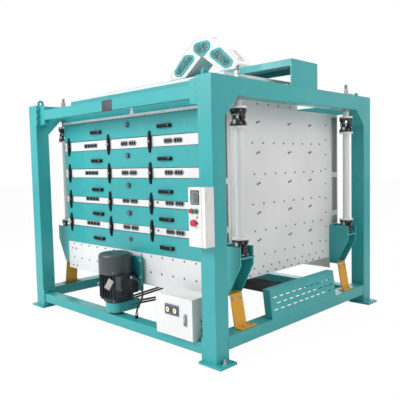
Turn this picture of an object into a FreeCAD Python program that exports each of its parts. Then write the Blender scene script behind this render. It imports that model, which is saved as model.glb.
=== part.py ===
import FreeCAD, Part
import math
import os
import re
import Sketcher

# Rice grader: a box of five sieve drawers that hangs on four jointed rods in a welded frame and
# is swung round a small circle by a turning weight. Millimetres. +Z is up, the drawers' fronts
# face -Y, and the origin is on the floor in the middle of the four posts.

doc = FreeCAD.newDocument("rice_grader")
sheet = doc.addObject("Spreadsheet::Sheet", "Sizes")
Vector = FreeCAD.Vector

SIZES = dict(
    # welded side frames, over the posts' outer faces
    frame_width=2290, frame_depth=2082, frame_height=1850, post_size=120,
    corner_gusset=135, side_beam_bottom=88, side_beam_height=85,
    foot_thickness=16, foot_length=194, foot_breadth=158,
    foot_overhang_side=55, foot_overhang_end=23, anchor_radius=8, anchor_inset=22,
    lug_width=60, lug_height=50, lug_thickness=14, lug_inset=14, lug_hole_radius=13,
    # cross beams between the side frames
    end_flange=12,
    top_beam_drop=90, top_beam_height=85, top_beam_width=60, top_flange_height=180,
    haunch_length=88, haunch_height=154,
    bottom_beam_centre=93, bottom_beam_height=76, bottom_beam_width=100, bottom_flange_height=150,
    bolt_across=12.5, bolt_head=10, bolt_washer_radius=14, bolt_washer=3,
    top_bolt_pitch=54, top_bolt_side=45, bottom_bolt_rise=56, bottom_bolt_side=30,
    # hangers: their rods swing about an upper and a lower universal joint
    hanger_inset=324, pivot_below_frame=253, lower_pivot=722,
    stud_radius=12, stud_clearance=1, stud_rise=92, nut_height=19, nut_radius=21,
    stud_plate=84, stud_plate_thickness=12, stud_disc_radius=34, stud_disc=12,
    neck_radius=24, collar_radius=56, collar=16,
    yoke_radius=55, yoke_flange=12, pivot_to_flange=46, cheek_inner=26, cheek=16, cheek_half=22,
    pin_radius=11, pin_clearance=0.05, open_pivot_clearance=1.5, knuckle_radius=20,
    rod_radius=28.5, rod_flange_radius=57, rod_flange=12,
    # hanger brackets on the corners of the sieve box
    bracket_half=72, bracket_plate=10, bracket_reach=180, bracket_bottom=403, bracket_top=735,
    bracket_shoulder=610, bracket_toe=70, shelf=12,
    # sieve box
    box_side_gap=185, box_end_gap=251, box_bottom=450, box_below_frame=155, box_wall=25,
    box_floor=12, ledge=27, front_band=40,
    # the decks' undersides and heights, as shares of the box's height
    deck_rise_1=0.85703, deck_share_1=0.12691, deck_rise_2=0.66185, deck_share_2=0.1245,
    deck_rise_3=0.46345, deck_share_3=0.13173, deck_rise_4=0.29558, deck_share_4=0.11888,
    deck_rise_5=0.12289, deck_share_5=0.12209,
    strip_width=92, strip_lip=6, strip_depth=8, strip_bottom=742, strip_bar=45,
    strip_window_1=69, strip_window_2=294, strip_window_3=480,
    # drawers, their screens and what is on their fronts
    drawer_front=8, seat=0.3, drawer_side_gap=3, drawer_overlap=20, tray_height=96,
    tray_wall=16, tray_bar=24, tray_bar_height=36, tray_bar_y=250, screen=4, screen_gap=1,
    handle_x=440, handle_above=66, handle_length=150, handle_height=26, handle_grip=14,
    handle_stand=16, handle_foot=22,
    bar_x=266, bar_outer_inset=82, bar_length=164, bar_width=30, bar_thickness=16, bar_gap=0.3,
    bar_stud_radius=8, knob_radius=13, knob_height=14,
    sight_radius=21, sight_reach=20, sight_below_top=55, sight_x=5, sight_square=36,
    sight_plate=8,
    apron_bottom=350, apron_thickness=6, apron_gap=2,
    # lid and feed chest on the box
    lid=6, chest_front=78, chest_depth=877, chest_height=217, chest_wall=5,
    trim_height=42, trim_depth=30, chest_board=4, chest_band=22,
    neck_half=90, neck_wall=6, neck_height=30,
    # discharge hopper under the rear of the box
    hopper_front=330, hopper_drop=132, hopper_inset=80, hopper_wall=6, outlet_bore=50,
    outlet_flange=66, outlet_length=24, outlet_pitch=420, outlet_drop=66,
    # gantry and feed distributor
    gantry_half=175, gantry_rise=195, gantry_sheet=10, gantry_lip=40, gantry_foot=90,
    gantry_inset=5,
    fork_x=240, fork_depth=200, fork_half=390, fork_height=303, fork_foot=40, fork_knee_half=204,
    fork_knee=224, fork_shoulder_half=80, fork_shoulder=296, fork_crown_half=68, fork_crotch=160,
    fork_crotch_half=218, fork_wall=4, spout_half=58, spout_wall=4, spout_above_frame=76,
    feed_bore=58, feed_collar=70, feed_collar_height=10,
    window_rim=20, window_thickness=6, pane=4, seal_gap=0.2,
    # centres of the windows' rounded corners, from the middle of the gantry's top
    crown_round=26, crown_half=52, crown_top=231, crown_foot=197, arm_round=14,
    arm_top_x=128, arm_top_z=153, arm_knee_x=195, arm_knee_z=161, arm_toe_x=306, arm_toe_z=59,
    arm_heel_x=265, arm_heel_z=52,
    # motor, belt and the turning weight
    motor_inset=75, motor_radius=112, motor_bottom=265, motor_top=455, shield=34, shield_radius=92,
    fin_reach=17, fin_width=4, foot_plane=132, motor_foot_x=90, motor_foot_width=27,
    motor_foot_bottom=290, motor_foot_height=140, cowl_radius=131, cowl_height=157, cowl_wall=3,
    cowl_spigot=16, cowl_round=24, cowl_slot=7, cowl_slot_length=58,
    shaft_radius=19, shaft_end=168,
    pulley_radius=40, pulley_rim=48, sheave_radius=200, sheave_rim=208, sheave_gap=0.3,
    belt_low=178, belt_height=13, belt_thickness=10, belt_pitch=20, groove_wall=4,
    fan_hub=32, fan_radius=112, fan_blade=5, fan_bottom=484, fan_height=52,
    box_terminal_x=118, terminal_depth=70, terminal_width=100, terminal_height=108,
    terminal_bottom=346, terminal_aside=40, terminal_lid=8, eye_radius=16, eye_wire=4,
    plate_half=165, plate_bottom=300, plate_height=275, plate_thickness=8, rail_x=120,
    rail_width=30,
    guard_radius=85, guard_wall=3, guard_bottom=150, guard_top=225, guard_tail=166,
    guard_hole=62, guard_tab_half=50, guard_tab_top=340,
    drive_inset=10, drive_width=200, drive_bottom=250, drive_top=300, drive_wall=10,
    hang_plate_x=500, hang_plate=12, spindle_radius=25, spindle_top=402, spindle_bottom=166,
    weight_radius=300, weight_bottom=335, weight_height=55, bearing_radius=62, bearing_height=24,
    # transport brackets between the hanger brackets and the side beams
    tie_plate=8, tie_half=60, tie_foot=60, tie_side=50, tie_lean=40, tie_gap=0.3,
    # perforated step on the right side beam
    step_front=450, step_rear=428, step_rise=210, step_sheet=4, step_lean=26, step_depth=60,
    slot_length=52, slot_width=8, slot_pitch=80, slot_row=44, slot_start=62, slot_columns=10,
    # control box on the front right post
    control_inset=68, control_width=146, control_depth=79, control_bottom=778, control_height=372,
    window_width=66, window_height=80, window_left=25, window_down=22, recess=30, case_wall=3,
    button_radius=11, button_head=15, button_reach=9, button_clearance=0.1, button_depth=30,
    cap_height=6, button_down=147, stop_left=30, start_left=70, emergency_left=51, emergency_down=221,
    emergency_radius=21, lever_width=12, lever_reach=20, lever_boss=6,
    # electrical cabinet on the front bottom beam
    cabinet_inset=545, cabinet_width=358, cabinet_height=280, cabinet_depth=185, cabinet_wall=3,
    cabinet_reach=24, door=15, door_gap=1, hinge_radius=5, hinge_length=26, hinge_pin=2,
    hinge_leaf=16, hinge_inset=28,
    lock_x=296, lock_z=134, lock_radius=9, lock_grip=72, lock_grip_width=16, lock_grip_depth=12,
    meter_left=98, meter_top=62, meter_width=62, meter_height=70, meter_pitch=70,
    meter_depth=8, gear_plate=4, gear_depth=70,
    gland_radius=12, gland_height=24, cable_radius=7,
)

for row, (alias, amount) in enumerate(SIZES.items(), 1):
    sheet.set(f"A{row}", alias)
    sheet.set(f"B{row}", str(amount))
    sheet.setAlias(f"B{row}", alias)
doc.recompute()

DECKS = (1, 2, 3, 4, 5)

# Sizes that follow from the sheet's, each written as an expression.
FOLLOWS = dict(
    hanger_y="frame_depth/2-hanger_inset",
    upper_pivot="frame_height-pivot_below_frame",
    stud_top="frame_height+stud_rise",
    top_beam_centre="frame_height-top_beam_drop",
    box_width="frame_width-2*box_side_gap",
    box_depth="frame_depth-2*box_end_gap",
    box_top="frame_height-box_below_frame",
    bar_outer_x="box_width/2-bar_outer_inset",
    hopper_half="box_width/2-hopper_inset",
    drive_half="box_width/2-drive_inset",
    gantry_top="frame_height+gantry_rise",
    spout_end="frame_height+spout_above_frame",
    motor_y="frame_depth/2-motor_inset",
    terminal_y="motor_y+terminal_aside",
    control_x="frame_width/2-control_inset",
    cabinet_left="frame_width/2-cabinet_inset",
    cabinet_front="frame_depth/2+cabinet_reach",
)
for deck in DECKS:
    FOLLOWS[f"deck_bottom_{deck}"] = f"box_bottom+deck_rise_{deck}*(box_top-box_bottom)"
    FOLLOWS[f"deck_height_{deck}"] = f"deck_share_{deck}*(box_top-box_bottom)"

CORNERS = {
    "front_right": (1, -1), "front_left": (-1, -1), "rear_right": (1, 1), "rear_left": (-1, 1),
}
nodes = []
gauge = doc.addObject("Part::Vertex", "Gauge")


def formula(text):
    """An expression in which each size's name points at its cell."""
    def known(found):
        name = found.group()
        if name in FOLLOWS:
            return f"({formula(FOLLOWS[name])})"
        return "Sizes." + name if name in SIZES else name

    return re.sub(r"[a-z][a-z_0-9]*", known, str(text))


def size(name):
    """The number behind a size's name."""
    gauge.setExpression("X", formula(name))
    gauge.recompute()
    return float(gauge.X)


def bind(thing, **places):
    """Ties properties of an object to expressions; x, y and z are its place."""
    paths = {"x": "Placement.Base.x", "y": "Placement.Base.y", "z": "Placement.Base.z"}
    for name, text in places.items():
        thing.setExpression(paths.get(name, name), formula(text))
    return thing


def node(label, thing):
    """Keeps an object as one of the parts that are written out."""
    thing.Label = label
    nodes.append(thing)
    return thing


def block(x, y, z, length, width, height):
    """A box from its lowest corner."""
    solid = doc.addObject("Part::Box", "Block")
    return bind(solid, x=x, y=y, z=z, Length=length, Width=width, Height=height)


def panel(x0, x1, y0, y1, z0, z1):
    """A box between two places along each axis."""
    return block(x0, y0, z0, f"{x1}-({x0})", f"{y1}-({y0})", f"{z1}-({z0})")


def mirrored(side, near, far):
    """Two distances from the middle as ascending places on one side of it."""
    return (f"({near})", f"({far})") if side > 0 else (f"-1*({far})", f"-1*({near})")


TURNS = {
    "z": FreeCAD.Rotation(),
    "x": FreeCAD.Rotation(Vector(0, 1, 0), 90),
    "y": FreeCAD.Rotation(Vector(1, 0, 0), -90),
}


def cylinder(x, y, z, radius, height, axis="z"):
    """A cylinder from the middle of its first end, along an axis."""
    solid = doc.addObject("Part::Cylinder", "Round")
    solid.Placement.Rotation = TURNS[axis]
    return bind(solid, x=x, y=y, z=z, Radius=radius, Height=height)


def cone(x, y, z, low, high, height):
    solid = doc.addObject("Part::Cone", "Taper")
    return bind(solid, x=x, y=y, z=z, Radius1=low, Radius2=high, Height=height)


def hexagon(x, y, z, radius, height, axis="z"):
    solid = doc.addObject("Part::Prism", "Hexagon")
    solid.Polygon = 6
    solid.Placement.Rotation = TURNS[axis]
    return bind(solid, x=x, y=y, z=z, Circumradius=radius, Height=height)


def fuse(*parts):
    whole = doc.addObject("Part::MultiFuse", "Joined")
    whole.Shapes = list(parts)
    whole.Refine = True
    return whole


def cut(base, *tools):
    rest = doc.addObject("Part::Cut", "Cut")
    rest.Base = base
    rest.Tool = tools[0] if len(tools) == 1 else fuse(*tools)
    return rest


def group(parts):
    """Separate solids that share one node."""
    whole = doc.addObject("Part::Compound", "Group")
    whole.Links = list(parts)
    return whole


def fixed(label, shape):
    """A part whose shape is worked out from the sheet's sizes."""
    thing = doc.addObject("Part::Feature", "Shape")
    thing.Shape = shape
    return node(label, thing)


def body(x=0, y=0, z=0):
    made = doc.addObject("PartDesign::Body", "Body")
    made.AllowCompound = True
    return bind(made, x=x, y=y, z=z)


def sketch(owner, plane, lift, loops):
    """Closed loops on one of the body's own planes, lifted along its normal. A loop is a list of
    corners, or a centre and a radius; every coordinate is tied to an expression."""
    made = owner.newObject("Sketcher::SketchObject", "Sketch")
    origin = [o for o in owner.Origin.OriginFeatures if o.Role == plane + "_Plane"]
    made.AttachmentSupport = [(origin[0], "")]
    made.MapMode = "FlatFace"
    made.setExpression("AttachmentOffset.Base.z", formula(lift))
    ties = []

    def tie(kind, *place, text):
        index = made.addConstraint(Sketcher.Constraint(kind, *place))
        made.renameConstraint(index, f"size{len(ties)}")
        ties.append((f"Constraints.size{len(ties)}", text))

    for loop in loops:
        first = made.GeometryCount
        if isinstance(loop, tuple):
            made.addGeometry(Part.Circle(Vector(1, 2, 0), Vector(0, 0, 1), 3))
            tie("DistanceX", first, 3, 1, text=loop[0])
            tie("DistanceY", first, 3, 2, text=loop[1])
            tie("Radius", first, 3, text=loop[2])
            continue
        count = len(loop)
        spread = [math.tau * k / count for k in range(count + 1)]
        spots = [Vector(100 * math.cos(a), 100 * math.sin(a), 0) for a in spread]
        for start, end in zip(spots, spots[1:]):
            made.addGeometry(Part.LineSegment(start, end))
        for k in range(count):
            made.addConstraint(
                Sketcher.Constraint("Coincident", first + k, 2, first + (k + 1) % count, 1)
            )
        for k, (across, up) in enumerate(loop):
            tie("DistanceX", first + k, 1, spots[k].x, text=across)
            tie("DistanceY", first + k, 1, spots[k].y, text=up)
    for path, text in ties:
        made.setExpression(path, formula(text))
    return made


def feature(kind, owner, plane, lift, loops, length, both=False, back=False):
    """A pad or pocket of a sketch; both sides of its plane, or against its usual direction."""
    made = owner.newObject("PartDesign::" + kind, kind)
    made.Profile = sketch(owner, plane, lift, loops)
    made.SideType = "Symmetric" if both else "One side"
    made.Reversed = back
    made.setExpression("Length", formula(length))
    return made


def pad(*where, **how):
    return feature("Pad", *where, **how)


def pocket(*where, **how):
    return feature("Pocket", *where, **how)


def oblong(x0, y0, x1, y1):
    """The corners of a rectangle."""
    return [(x0, y0), (x1, y0), (x1, y1), (x0, y1)]


def copies(thing, places):
    """Moved copies of one built solid, mirrored where a place asks for it."""
    doc.recompute()
    found = []
    for x, y, z, across, along in places:
        shape = thing.Shape.copy()
        if across < 0:
            shape = shape.mirror(Vector(), Vector(1, 0, 0))
        if along < 0:
            shape = shape.mirror(Vector(), Vector(0, 1, 0))
        shape.translate(Vector(x, y, z))
        found.append(shape)
    return found


def side_frame(name, side):
    """Two posts, a flush top beam with corner gussets, a lower beam, feet and lifting lugs."""
    frame = body(x=f"{side}*(frame_width-post_size)/2")
    outer, inner = "frame_depth/2", "(frame_depth/2-post_size)"
    portal = [
        (f"-{outer}", "foot_thickness"), (f"-{inner}", "foot_thickness"),
        (f"-{inner}", "side_beam_bottom"), (inner, "side_beam_bottom"),
        (inner, "foot_thickness"), (outer, "foot_thickness"),
        (outer, "frame_height"), (f"-{outer}", "frame_height"),
    ]
    ceiling, floor = "(frame_height-post_size)", "side_beam_bottom+side_beam_height"
    window = [
        (f"-{inner}", floor), (inner, floor), (inner, f"{ceiling}-corner_gusset"),
        (f"{inner}-corner_gusset", ceiling), (f"-{inner}+corner_gusset", ceiling),
        (f"-{inner}", f"{ceiling}-corner_gusset"),
    ]
    pad(frame, "YZ", 0, [portal, window], "post_size", both=True)
    toe = f"{side}*(post_size/2+foot_overhang_side)"
    heel = f"{side}*(post_size/2+foot_overhang_side-foot_length)"
    anchor_x = f"{side}*(post_size/2+foot_overhang_side-anchor_inset)"
    plates, anchors, studs, lugs, crowns, eyes = [], [], [], [], [], []
    for end in (-1, 1):
        tip = f"{end}*(frame_depth/2+foot_overhang_end)"
        root = f"{end}*(frame_depth/2+foot_overhang_end-foot_breadth)"
        plates.append(oblong(heel, tip, toe, root))
        anchors.append((anchor_x, f"{end}*(frame_depth/2+foot_overhang_end-anchor_inset)",
                        "anchor_radius"))
        anchors.append((anchor_x,
                        f"{end}*(frame_depth/2+foot_overhang_end-foot_breadth+anchor_inset)",
                        "anchor_radius"))
        studs.append((0, f"{end}*hanger_y", "stud_radius+stud_clearance"))
        middle = f"{end}*(frame_depth-post_size)/2"
        crown = "frame_height+lug_height-lug_width/2"
        lugs.append(oblong(f"{middle}-lug_width/2", "frame_height", f"{middle}+lug_width/2", crown))
        crowns.append((middle, crown, "lug_width/2"))
        eyes.append((middle, crown, "lug_hole_radius"))
    pad(frame, "XY", 0, plates + anchors, "foot_thickness")
    pocket(frame, "XY", "frame_height", studs, "post_size+corner_gusset/2")
    lug_plane = f"-{side}*(post_size/2-lug_inset)"
    pad(frame, "YZ", lug_plane, lugs, "lug_thickness", both=True)
    pad(frame, "YZ", lug_plane, crowns, "lug_thickness", both=True)
    pocket(frame, "YZ", lug_plane, eyes, "lug_thickness*2", both=True)
    node(name, frame)


def cross_beam(name, end, level, haunched):
    """A beam between the side frames with a flange at each end; the top ones have deep ends."""
    kind = "top" if haunched else "bottom"
    beam = body(y=f"{end}*(frame_depth-post_size)/2", z=level)
    stop = "(frame_width/2-post_size)"
    reach = f"({stop}-end_flange)"
    half = f"{kind}_beam_height/2"
    pad(beam, "XZ", 0, [oblong(f"-{reach}", f"-{half}", reach, half)], f"{kind}_beam_width",
        both=True)
    flanges, haunches = [], []
    for side in (-1, 1):
        tall = f"{kind}_flange_height/2"
        flanges.append(oblong(f"{side}*{reach}", f"-{tall}", f"{side}*{stop}", tall))
        inner = f"{side}*({reach}-haunch_length)"
        haunches.append([
            (inner, "-haunch_height/2"), (f"{side}*{reach}", f"-{tall}"),
            (f"{side}*{reach}", tall), (inner, "haunch_height/2"),
        ])
    if haunched:
        pad(beam, "XZ", 0, haunches, f"{kind}_beam_width", both=True)
    pad(beam, "XZ", 0, flanges, "post_size", both=True)
    node(name, beam)


def frame_bolts():
    """Washers and bolt heads on the inner side of the beams' end flanges."""
    heads = []
    middle = "(frame_depth-post_size)/2"
    face = "(frame_width/2-post_size-end_flange)"
    spots = [("top_beam_centre", "top_bolt_side", f"{k}*top_bolt_pitch") for k in (-1, 0, 1)]
    spots += [("bottom_beam_centre", "bottom_bolt_side", f"{k}*bottom_bolt_rise") for k in (-1, 1)]
    for side in (-1, 1):
        for end in (-1, 1):
            for level, aside, up in spots:
                for hand in (-1, 1):
                    y = f"{end}*{middle}+{hand}*{aside}"
                    z = f"{level}+{up}"
                    thick = "bolt_washer+bolt_head"
                    washer_x = f"-{face}" if side < 0 else f"{face}-bolt_washer"
                    head_x = f"-{face}" if side < 0 else f"{face}-({thick})"
                    heads.append(fuse(
                        cylinder(washer_x, y, z, "bolt_washer_radius", "bolt_washer", "x"),
                        hexagon(head_x, y, z, "bolt_across", thick, "x"),
                    ))
    node("frame_bolts", group(heads))


HANGER_X = "(frame_width-post_size)/2"


def corner_places(z=0.0):
    """Where the four hangers stand."""
    x = size(HANGER_X)
    y = size("hanger_y")
    return [(side * x, end * y, z, side, end) for side, end in CORNERS.values()]


def fork(axis, way):
    """A fork about the origin: a flange and two cheeks across one axis, without its bores."""
    along = axis == "x"
    rise = "pivot_to_flange"
    parts = [cylinder(0, 0, rise if way > 0 else f"-{rise}-yoke_flange", "yoke_radius",
                      "yoke_flange")]
    for hand in (-1, 1):
        near = "cheek_inner" if hand > 0 else "-cheek_inner-cheek"
        z = 0 if way > 0 else f"-{rise}"
        if along:
            parts.append(block(near, "-cheek_half", z, "cheek", "2*cheek_half", rise))
            parts.append(cylinder(near, 0, 0, "cheek_half", "cheek", "x"))
        else:
            parts.append(block("-cheek_half", near, z, "2*cheek_half", "cheek", rise))
            parts.append(cylinder(0, near, 0, "cheek_half", "cheek", "y"))
    return fuse(*parts)


def bored(solid, axis, clearance, z=0):
    """The fork with the bore for its pins."""
    reach = "(cheek_inner+2*cheek)"
    x, y = (f"-{reach}", 0) if axis == "x" else (0, f"-{reach}")
    return cut(solid, cylinder(x, y, z, f"pin_radius+{clearance}", f"2*{reach}", axis))


def cross():
    """The cross of a universal joint: a knuckle with two pins through it."""
    reach = "(cheek_inner+cheek)"
    return fuse(
        cylinder(f"-{reach}", 0, 0, "pin_radius", f"2*{reach}", "x"),
        cylinder(0, f"-{reach}", 0, "pin_radius", f"2*{reach}", "y"),
        cylinder(0, 0, "-knuckle_radius", "knuckle_radius", "2*knuckle_radius"),
    )


def placed(label, thing, x, y, z):
    """A node that is one built solid moved to its place."""
    part = doc.addObject("Part::Compound", "Placed")
    part.Links = [thing]
    node(label, bind(part, x=x, y=y, z=z))


def hangers():
    """Studs, adapters and yokes of the four hangers, and each one's crosses and rod."""
    beam = "(frame_height-post_size)"
    stud = fuse(
        cylinder(0, 0, f"{beam}-stud_disc", "stud_radius", f"stud_top-{beam}+stud_disc"),
        cylinder(0, 0, f"{beam}-stud_disc", "stud_disc_radius", "stud_disc"),
        block("-stud_plate/2", "-stud_plate/2", "frame_height", "stud_plate", "stud_plate",
              "stud_plate_thickness"),
        hexagon(0, 0, "frame_height+stud_plate_thickness", "nut_radius", "nut_height"),
        hexagon(0, 0, "frame_height+stud_plate_thickness+nut_height+2", "nut_radius",
                "nut_height"),
    )
    yoke_top = "(upper_pivot+pivot_to_flange+yoke_flange)"
    adapter = fuse(
        cylinder(0, 0, yoke_top, "collar_radius", "collar"),
        cylinder(0, 0, f"{yoke_top}+collar", "neck_radius", f"{beam}-stud_disc-{yoke_top}-collar"),
    )
    upper = bored(fork("x", 1), "x", "pin_clearance")
    lower = bored(fork("x", -1), "x", "pin_clearance")
    spider = cross()
    fixed("hanger_studs", Part.makeCompound(copies(stud, corner_places())))
    fixed("hanger_adapters", Part.makeCompound(copies(adapter, corner_places())))
    fixed("upper_yokes", Part.makeCompound(copies(upper, corner_places(size("upper_pivot")))))
    fixed("lower_yokes", Part.makeCompound(copies(lower, corner_places(size("lower_pivot")))))
    fixed("lower_crosses",
          Part.makeCompound(copies(spider, corner_places(size("lower_pivot"))[1:])))
    for name, (side, end) in CORNERS.items():
        x, y = f"{side}*{HANGER_X}", f"{end}*hanger_y"
        placed(f"upper_cross_{name}", cross(), x, y, "upper_pivot")
        if name == "front_right":
            placed("lower_cross_front_right", cross(), x, y, "lower_pivot")
        play = "pin_clearance" if name == "front_right" else "open_pivot_clearance"
        span = "(upper_pivot-lower_pivot)"
        high = bored(fork("y", -1), "y", "pin_clearance")
        low = bored(fork("y", 1), "y", play)
        bind(low, z=f"-{span}")
        inset = "(pivot_to_flange+yoke_flange)"
        rod = fuse(
            high, low,
            cylinder(0, 0, f"-{inset}-rod_flange", "rod_flange_radius", "rod_flange"),
            cylinder(0, 0, f"{inset}-{span}", "rod_flange_radius", "rod_flange"),
            cylinder(0, 0, f"{inset}-{span}", "rod_radius", f"{span}-2*{inset}"),
        )
        placed(f"hanger_rod_{name}", rod, x, y, "upper_pivot")


def hanger_brackets():
    """Welded brackets on the box's corners: a back plate, two tapering cheeks and a shelf."""
    cheeks = body()
    shelf_top = "(lower_pivot-pivot_to_flange-yoke_flange)"
    edge = [
        (0, "bracket_bottom"), ("bracket_toe", "bracket_bottom"),
        ("bracket_reach", "bracket_shoulder"), ("bracket_reach", "bracket_top"), (0, "bracket_top"),
    ]
    pad(cheeks, "XZ", "bracket_half-bracket_plate", [edge], "bracket_plate")
    pad(cheeks, "XZ", "-bracket_half", [edge], "bracket_plate")
    pad(cheeks, "XZ", 0, [oblong(0, "bracket_bottom", "bracket_plate", "bracket_top")],
        "2*bracket_half", both=True)
    pad(cheeks, "XZ", 0, [oblong(0, f"{shelf_top}-shelf", "bracket_reach", shelf_top)],
        "2*bracket_half", both=True)
    x, y = size("box_width/2"), size("hanger_y")
    places = [(side * x, end * y, 0, side, end) for side, end in CORNERS.values()]
    fixed("hanger_brackets", Part.makeCompound(copies(cheeks, places)))


def transport_brackets():
    """Leaning ties from the hanger brackets down to the side beams."""
    tie = body()
    beam = "(side_beam_bottom+side_beam_height+tie_gap)"
    back = "(box_width/2+bracket_toe)"
    toe = f"({back}+tie_lean)"
    angle = [
        (toe, beam), (f"{toe}+tie_foot", beam), (f"{toe}+tie_foot", f"{beam}+tie_plate"),
        (f"{toe}+tie_plate", f"{beam}+tie_plate"), (f"{back}+tie_plate", "bracket_bottom"),
        (back, "bracket_bottom"),
    ]
    pad(tie, "XZ", 0, [angle], "2*tie_half", both=True)
    lap = oblong("box_width/2", "bracket_bottom-tie_plate", f"{back}+tie_plate/2",
                 "bracket_bottom")
    pad(tie, "XZ", 0, [lap], "2*tie_half", both=True)
    foot = oblong(toe, beam, f"{toe}+tie_foot", f"{beam}+tie_plate")
    pad(tie, "XZ", "tie_half", [foot], "tie_side")
    y = size("hanger_y")
    places = [(0, end * y, 0, side, end) for side, end in CORNERS.values()]
    fixed("transport_brackets", Part.makeCompound(copies(tie, places)))


def sieve_box():
    """The casing's panels: walls, a floor, and between the decks a front bar and the ledges that
    carry the drawers round the open shaft."""
    x, y = "(box_width/2)", "(box_depth/2)"
    inner, rear = f"({x}-box_wall)", f"({y}-box_wall)"
    windows = []
    for end in (-1, 1):
        near, far = f"{end}*({y}-strip_lip)", f"{end}*({y}-strip_lip-strip_width)"
        low = "strip_bottom"
        for k in (1, 2, 3):
            high = f"{low}+strip_window_{k}"
            windows.append(oblong(near, low, far, high))
            low = f"{high}+strip_bar"
    parts = []
    for side in (-1, 1):
        wall = body(x=f"{side}*({x}-box_wall/2)")
        pad(wall, "YZ", 0, [oblong(f"-{y}", "box_bottom", y, "box_top")], "box_wall", both=True)
        pocket(wall, "YZ", f"{side}*box_wall/2", windows, "strip_depth", back=side < 0)
        parts.append(wall)
    floor, shaft, band = "(box_bottom+box_floor)", f"({inner}-ledge)", f"(-{y}+front_band)"
    hole, front = "(hopper_half-hopper_wall)", "(hopper_front+hopper_wall)"
    back = f"({rear}-hopper_wall)"
    parts += [
        panel(f"-{inner}", inner, rear, y, "box_bottom", "box_top"),
        panel(f"-{inner}", inner, f"-{y}", front, "box_bottom", floor),
        panel(f"-{inner}", inner, back, rear, "box_bottom", floor),
        panel(f"-{inner}", f"-{hole}", front, back, "box_bottom", floor),
        panel(hole, inner, front, back, "box_bottom", floor),
    ]
    lows = [floor] + [f"(deck_bottom_{k}+deck_height_{k})" for k in reversed(DECKS)]
    highs = [f"deck_bottom_{k}" for k in reversed(DECKS)] + ["box_top"]
    for low, high in zip(lows, highs):
        parts += [
            panel(f"-{inner}", inner, f"-{y}", band, low, high),
            panel(f"-{inner}", f"-{shaft}", band, rear, low, high),
            panel(shaft, inner, band, rear, low, high),
            panel(f"-{shaft}", shaft, f"{rear}-ledge", rear, low, high),
        ]
    node("sieve_box", group(parts))


def drawers():
    """Five drawers, each a front board and a frame of profiles with two bars, and their screens."""
    trays, screens = [], []
    front, back = "(-box_depth/2-seat)", "(box_depth/2-box_wall-drawer_side_gap)"
    front_in, back_in = f"({front}+tray_wall)", f"({back}-tray_wall)"
    half = "(box_width/2-box_wall-drawer_side_gap)"
    wide, inside = f"({half}+drawer_side_gap+drawer_overlap)", f"({half}-tray_wall)"
    for k in DECKS:
        low = f"(deck_bottom_{k}+seat)"
        rim, rest = f"({low}+tray_height)", f"({low}+tray_bar_height)"
        trays += [
            panel(f"-{wide}", wide, f"{front}-drawer_front", front, low,
                  f"(deck_bottom_{k}+deck_height_{k})"),
            panel(f"-{inside}", inside, front, front_in, low, rim),
            panel(f"-{inside}", inside, back_in, back, low, rim),
            panel(f"-{half}", f"-{inside}", front, back, low, rim),
            panel(inside, half, front, back, low, rim),
        ]
        trays += [
            panel(f"-{inside}", inside, f"{hand}*tray_bar_y-tray_bar/2",
                  f"{hand}*tray_bar_y+tray_bar/2", low, rest)
            for hand in (-1, 1)
        ]
        screens.append(panel(f"-{inside}+screen_gap", f"{inside}-screen_gap",
                             f"{front_in}+screen_gap", f"{back_in}-screen_gap", rest,
                             f"{rest}+screen"))
    node("sieve_drawers", group(trays))
    node("sieve_screens", group(screens))


def drawer_fittings():
    """Pull handles, round caps, a square plate on the lowest drawer, and press bars."""
    face = "(box_depth/2+seat+drawer_front)"
    handles, sights, bars = [], [], []
    for k in DECKS:
        z = f"(deck_bottom_{k}+handle_above)"
        for side in (-1, 1):
            x = f"{side}*handle_x"
            grip = block(f"{x}-handle_length/2", f"-{face}-handle_stand-handle_grip",
                         f"{z}-handle_height/2", "handle_length", "handle_grip", "handle_height")
            feet = [
                block(f"{x}+{hand}*(handle_length-handle_foot)/2-handle_foot/2",
                      f"-{face}-handle_stand", f"{z}-handle_height/2", "handle_foot",
                      "handle_stand", "handle_height")
                for hand in (-1, 1)
            ]
            handles.append(fuse(grip, *feet))
        middle = f"deck_bottom_{k}+deck_height_{k}-sight_below_top"
        if k < max(DECKS):
            sights.append(cylinder("-sight_x", f"-{face}-sight_reach", middle, "sight_radius",
                                   "sight_reach", "y"))
        else:
            sights.append(block("-sight_x-sight_square/2", f"-{face}-sight_plate",
                                f"{middle}-sight_square/2", "sight_square", "sight_plate",
                                "sight_square"))
    back = f"({face}+bar_gap)"
    for k in DECKS[1:]:
        z = f"(deck_bottom_{k}+deck_height_{k}+deck_bottom_{k - 1})/2"
        for x in ("-bar_outer_x", "-bar_x", "bar_x", "bar_outer_x"):
            bars.append(fuse(
                block(f"{x}-bar_width/2", f"-{back}-bar_thickness", f"{z}-bar_length/2",
                      "bar_width", "bar_thickness", "bar_length"),
                cylinder(x, f"-{back}", z, "bar_stud_radius", f"{back}-box_depth/2", "y"),
                hexagon(x, f"-{back}-bar_thickness-knob_height", z, "knob_radius",
                        "knob_height", "y"),
            ))
    node("drawer_handles", group(handles))
    node("sight_plates", group(sights))
    node("press_bars", group(bars))


def square_duct(x, half, wall, low, high):
    """Four sheets round a square passage below one arm of the distributor."""
    outer = f"({half}+{wall})"
    front, back = f"({SPOUT_Y}-{outer})", f"({SPOUT_Y}+{outer})"
    return [
        panel(f"{x}-{outer}", f"{x}-{half}", front, back, low, high),
        panel(f"{x}+{half}", f"{x}+{outer}", front, back, low, high),
        panel(f"{x}-{half}", f"{x}+{half}", front, f"{SPOUT_Y}-{half}", low, high),
        panel(f"{x}-{half}", f"{x}+{half}", f"{SPOUT_Y}+{half}", back, low, high),
    ]


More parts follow.
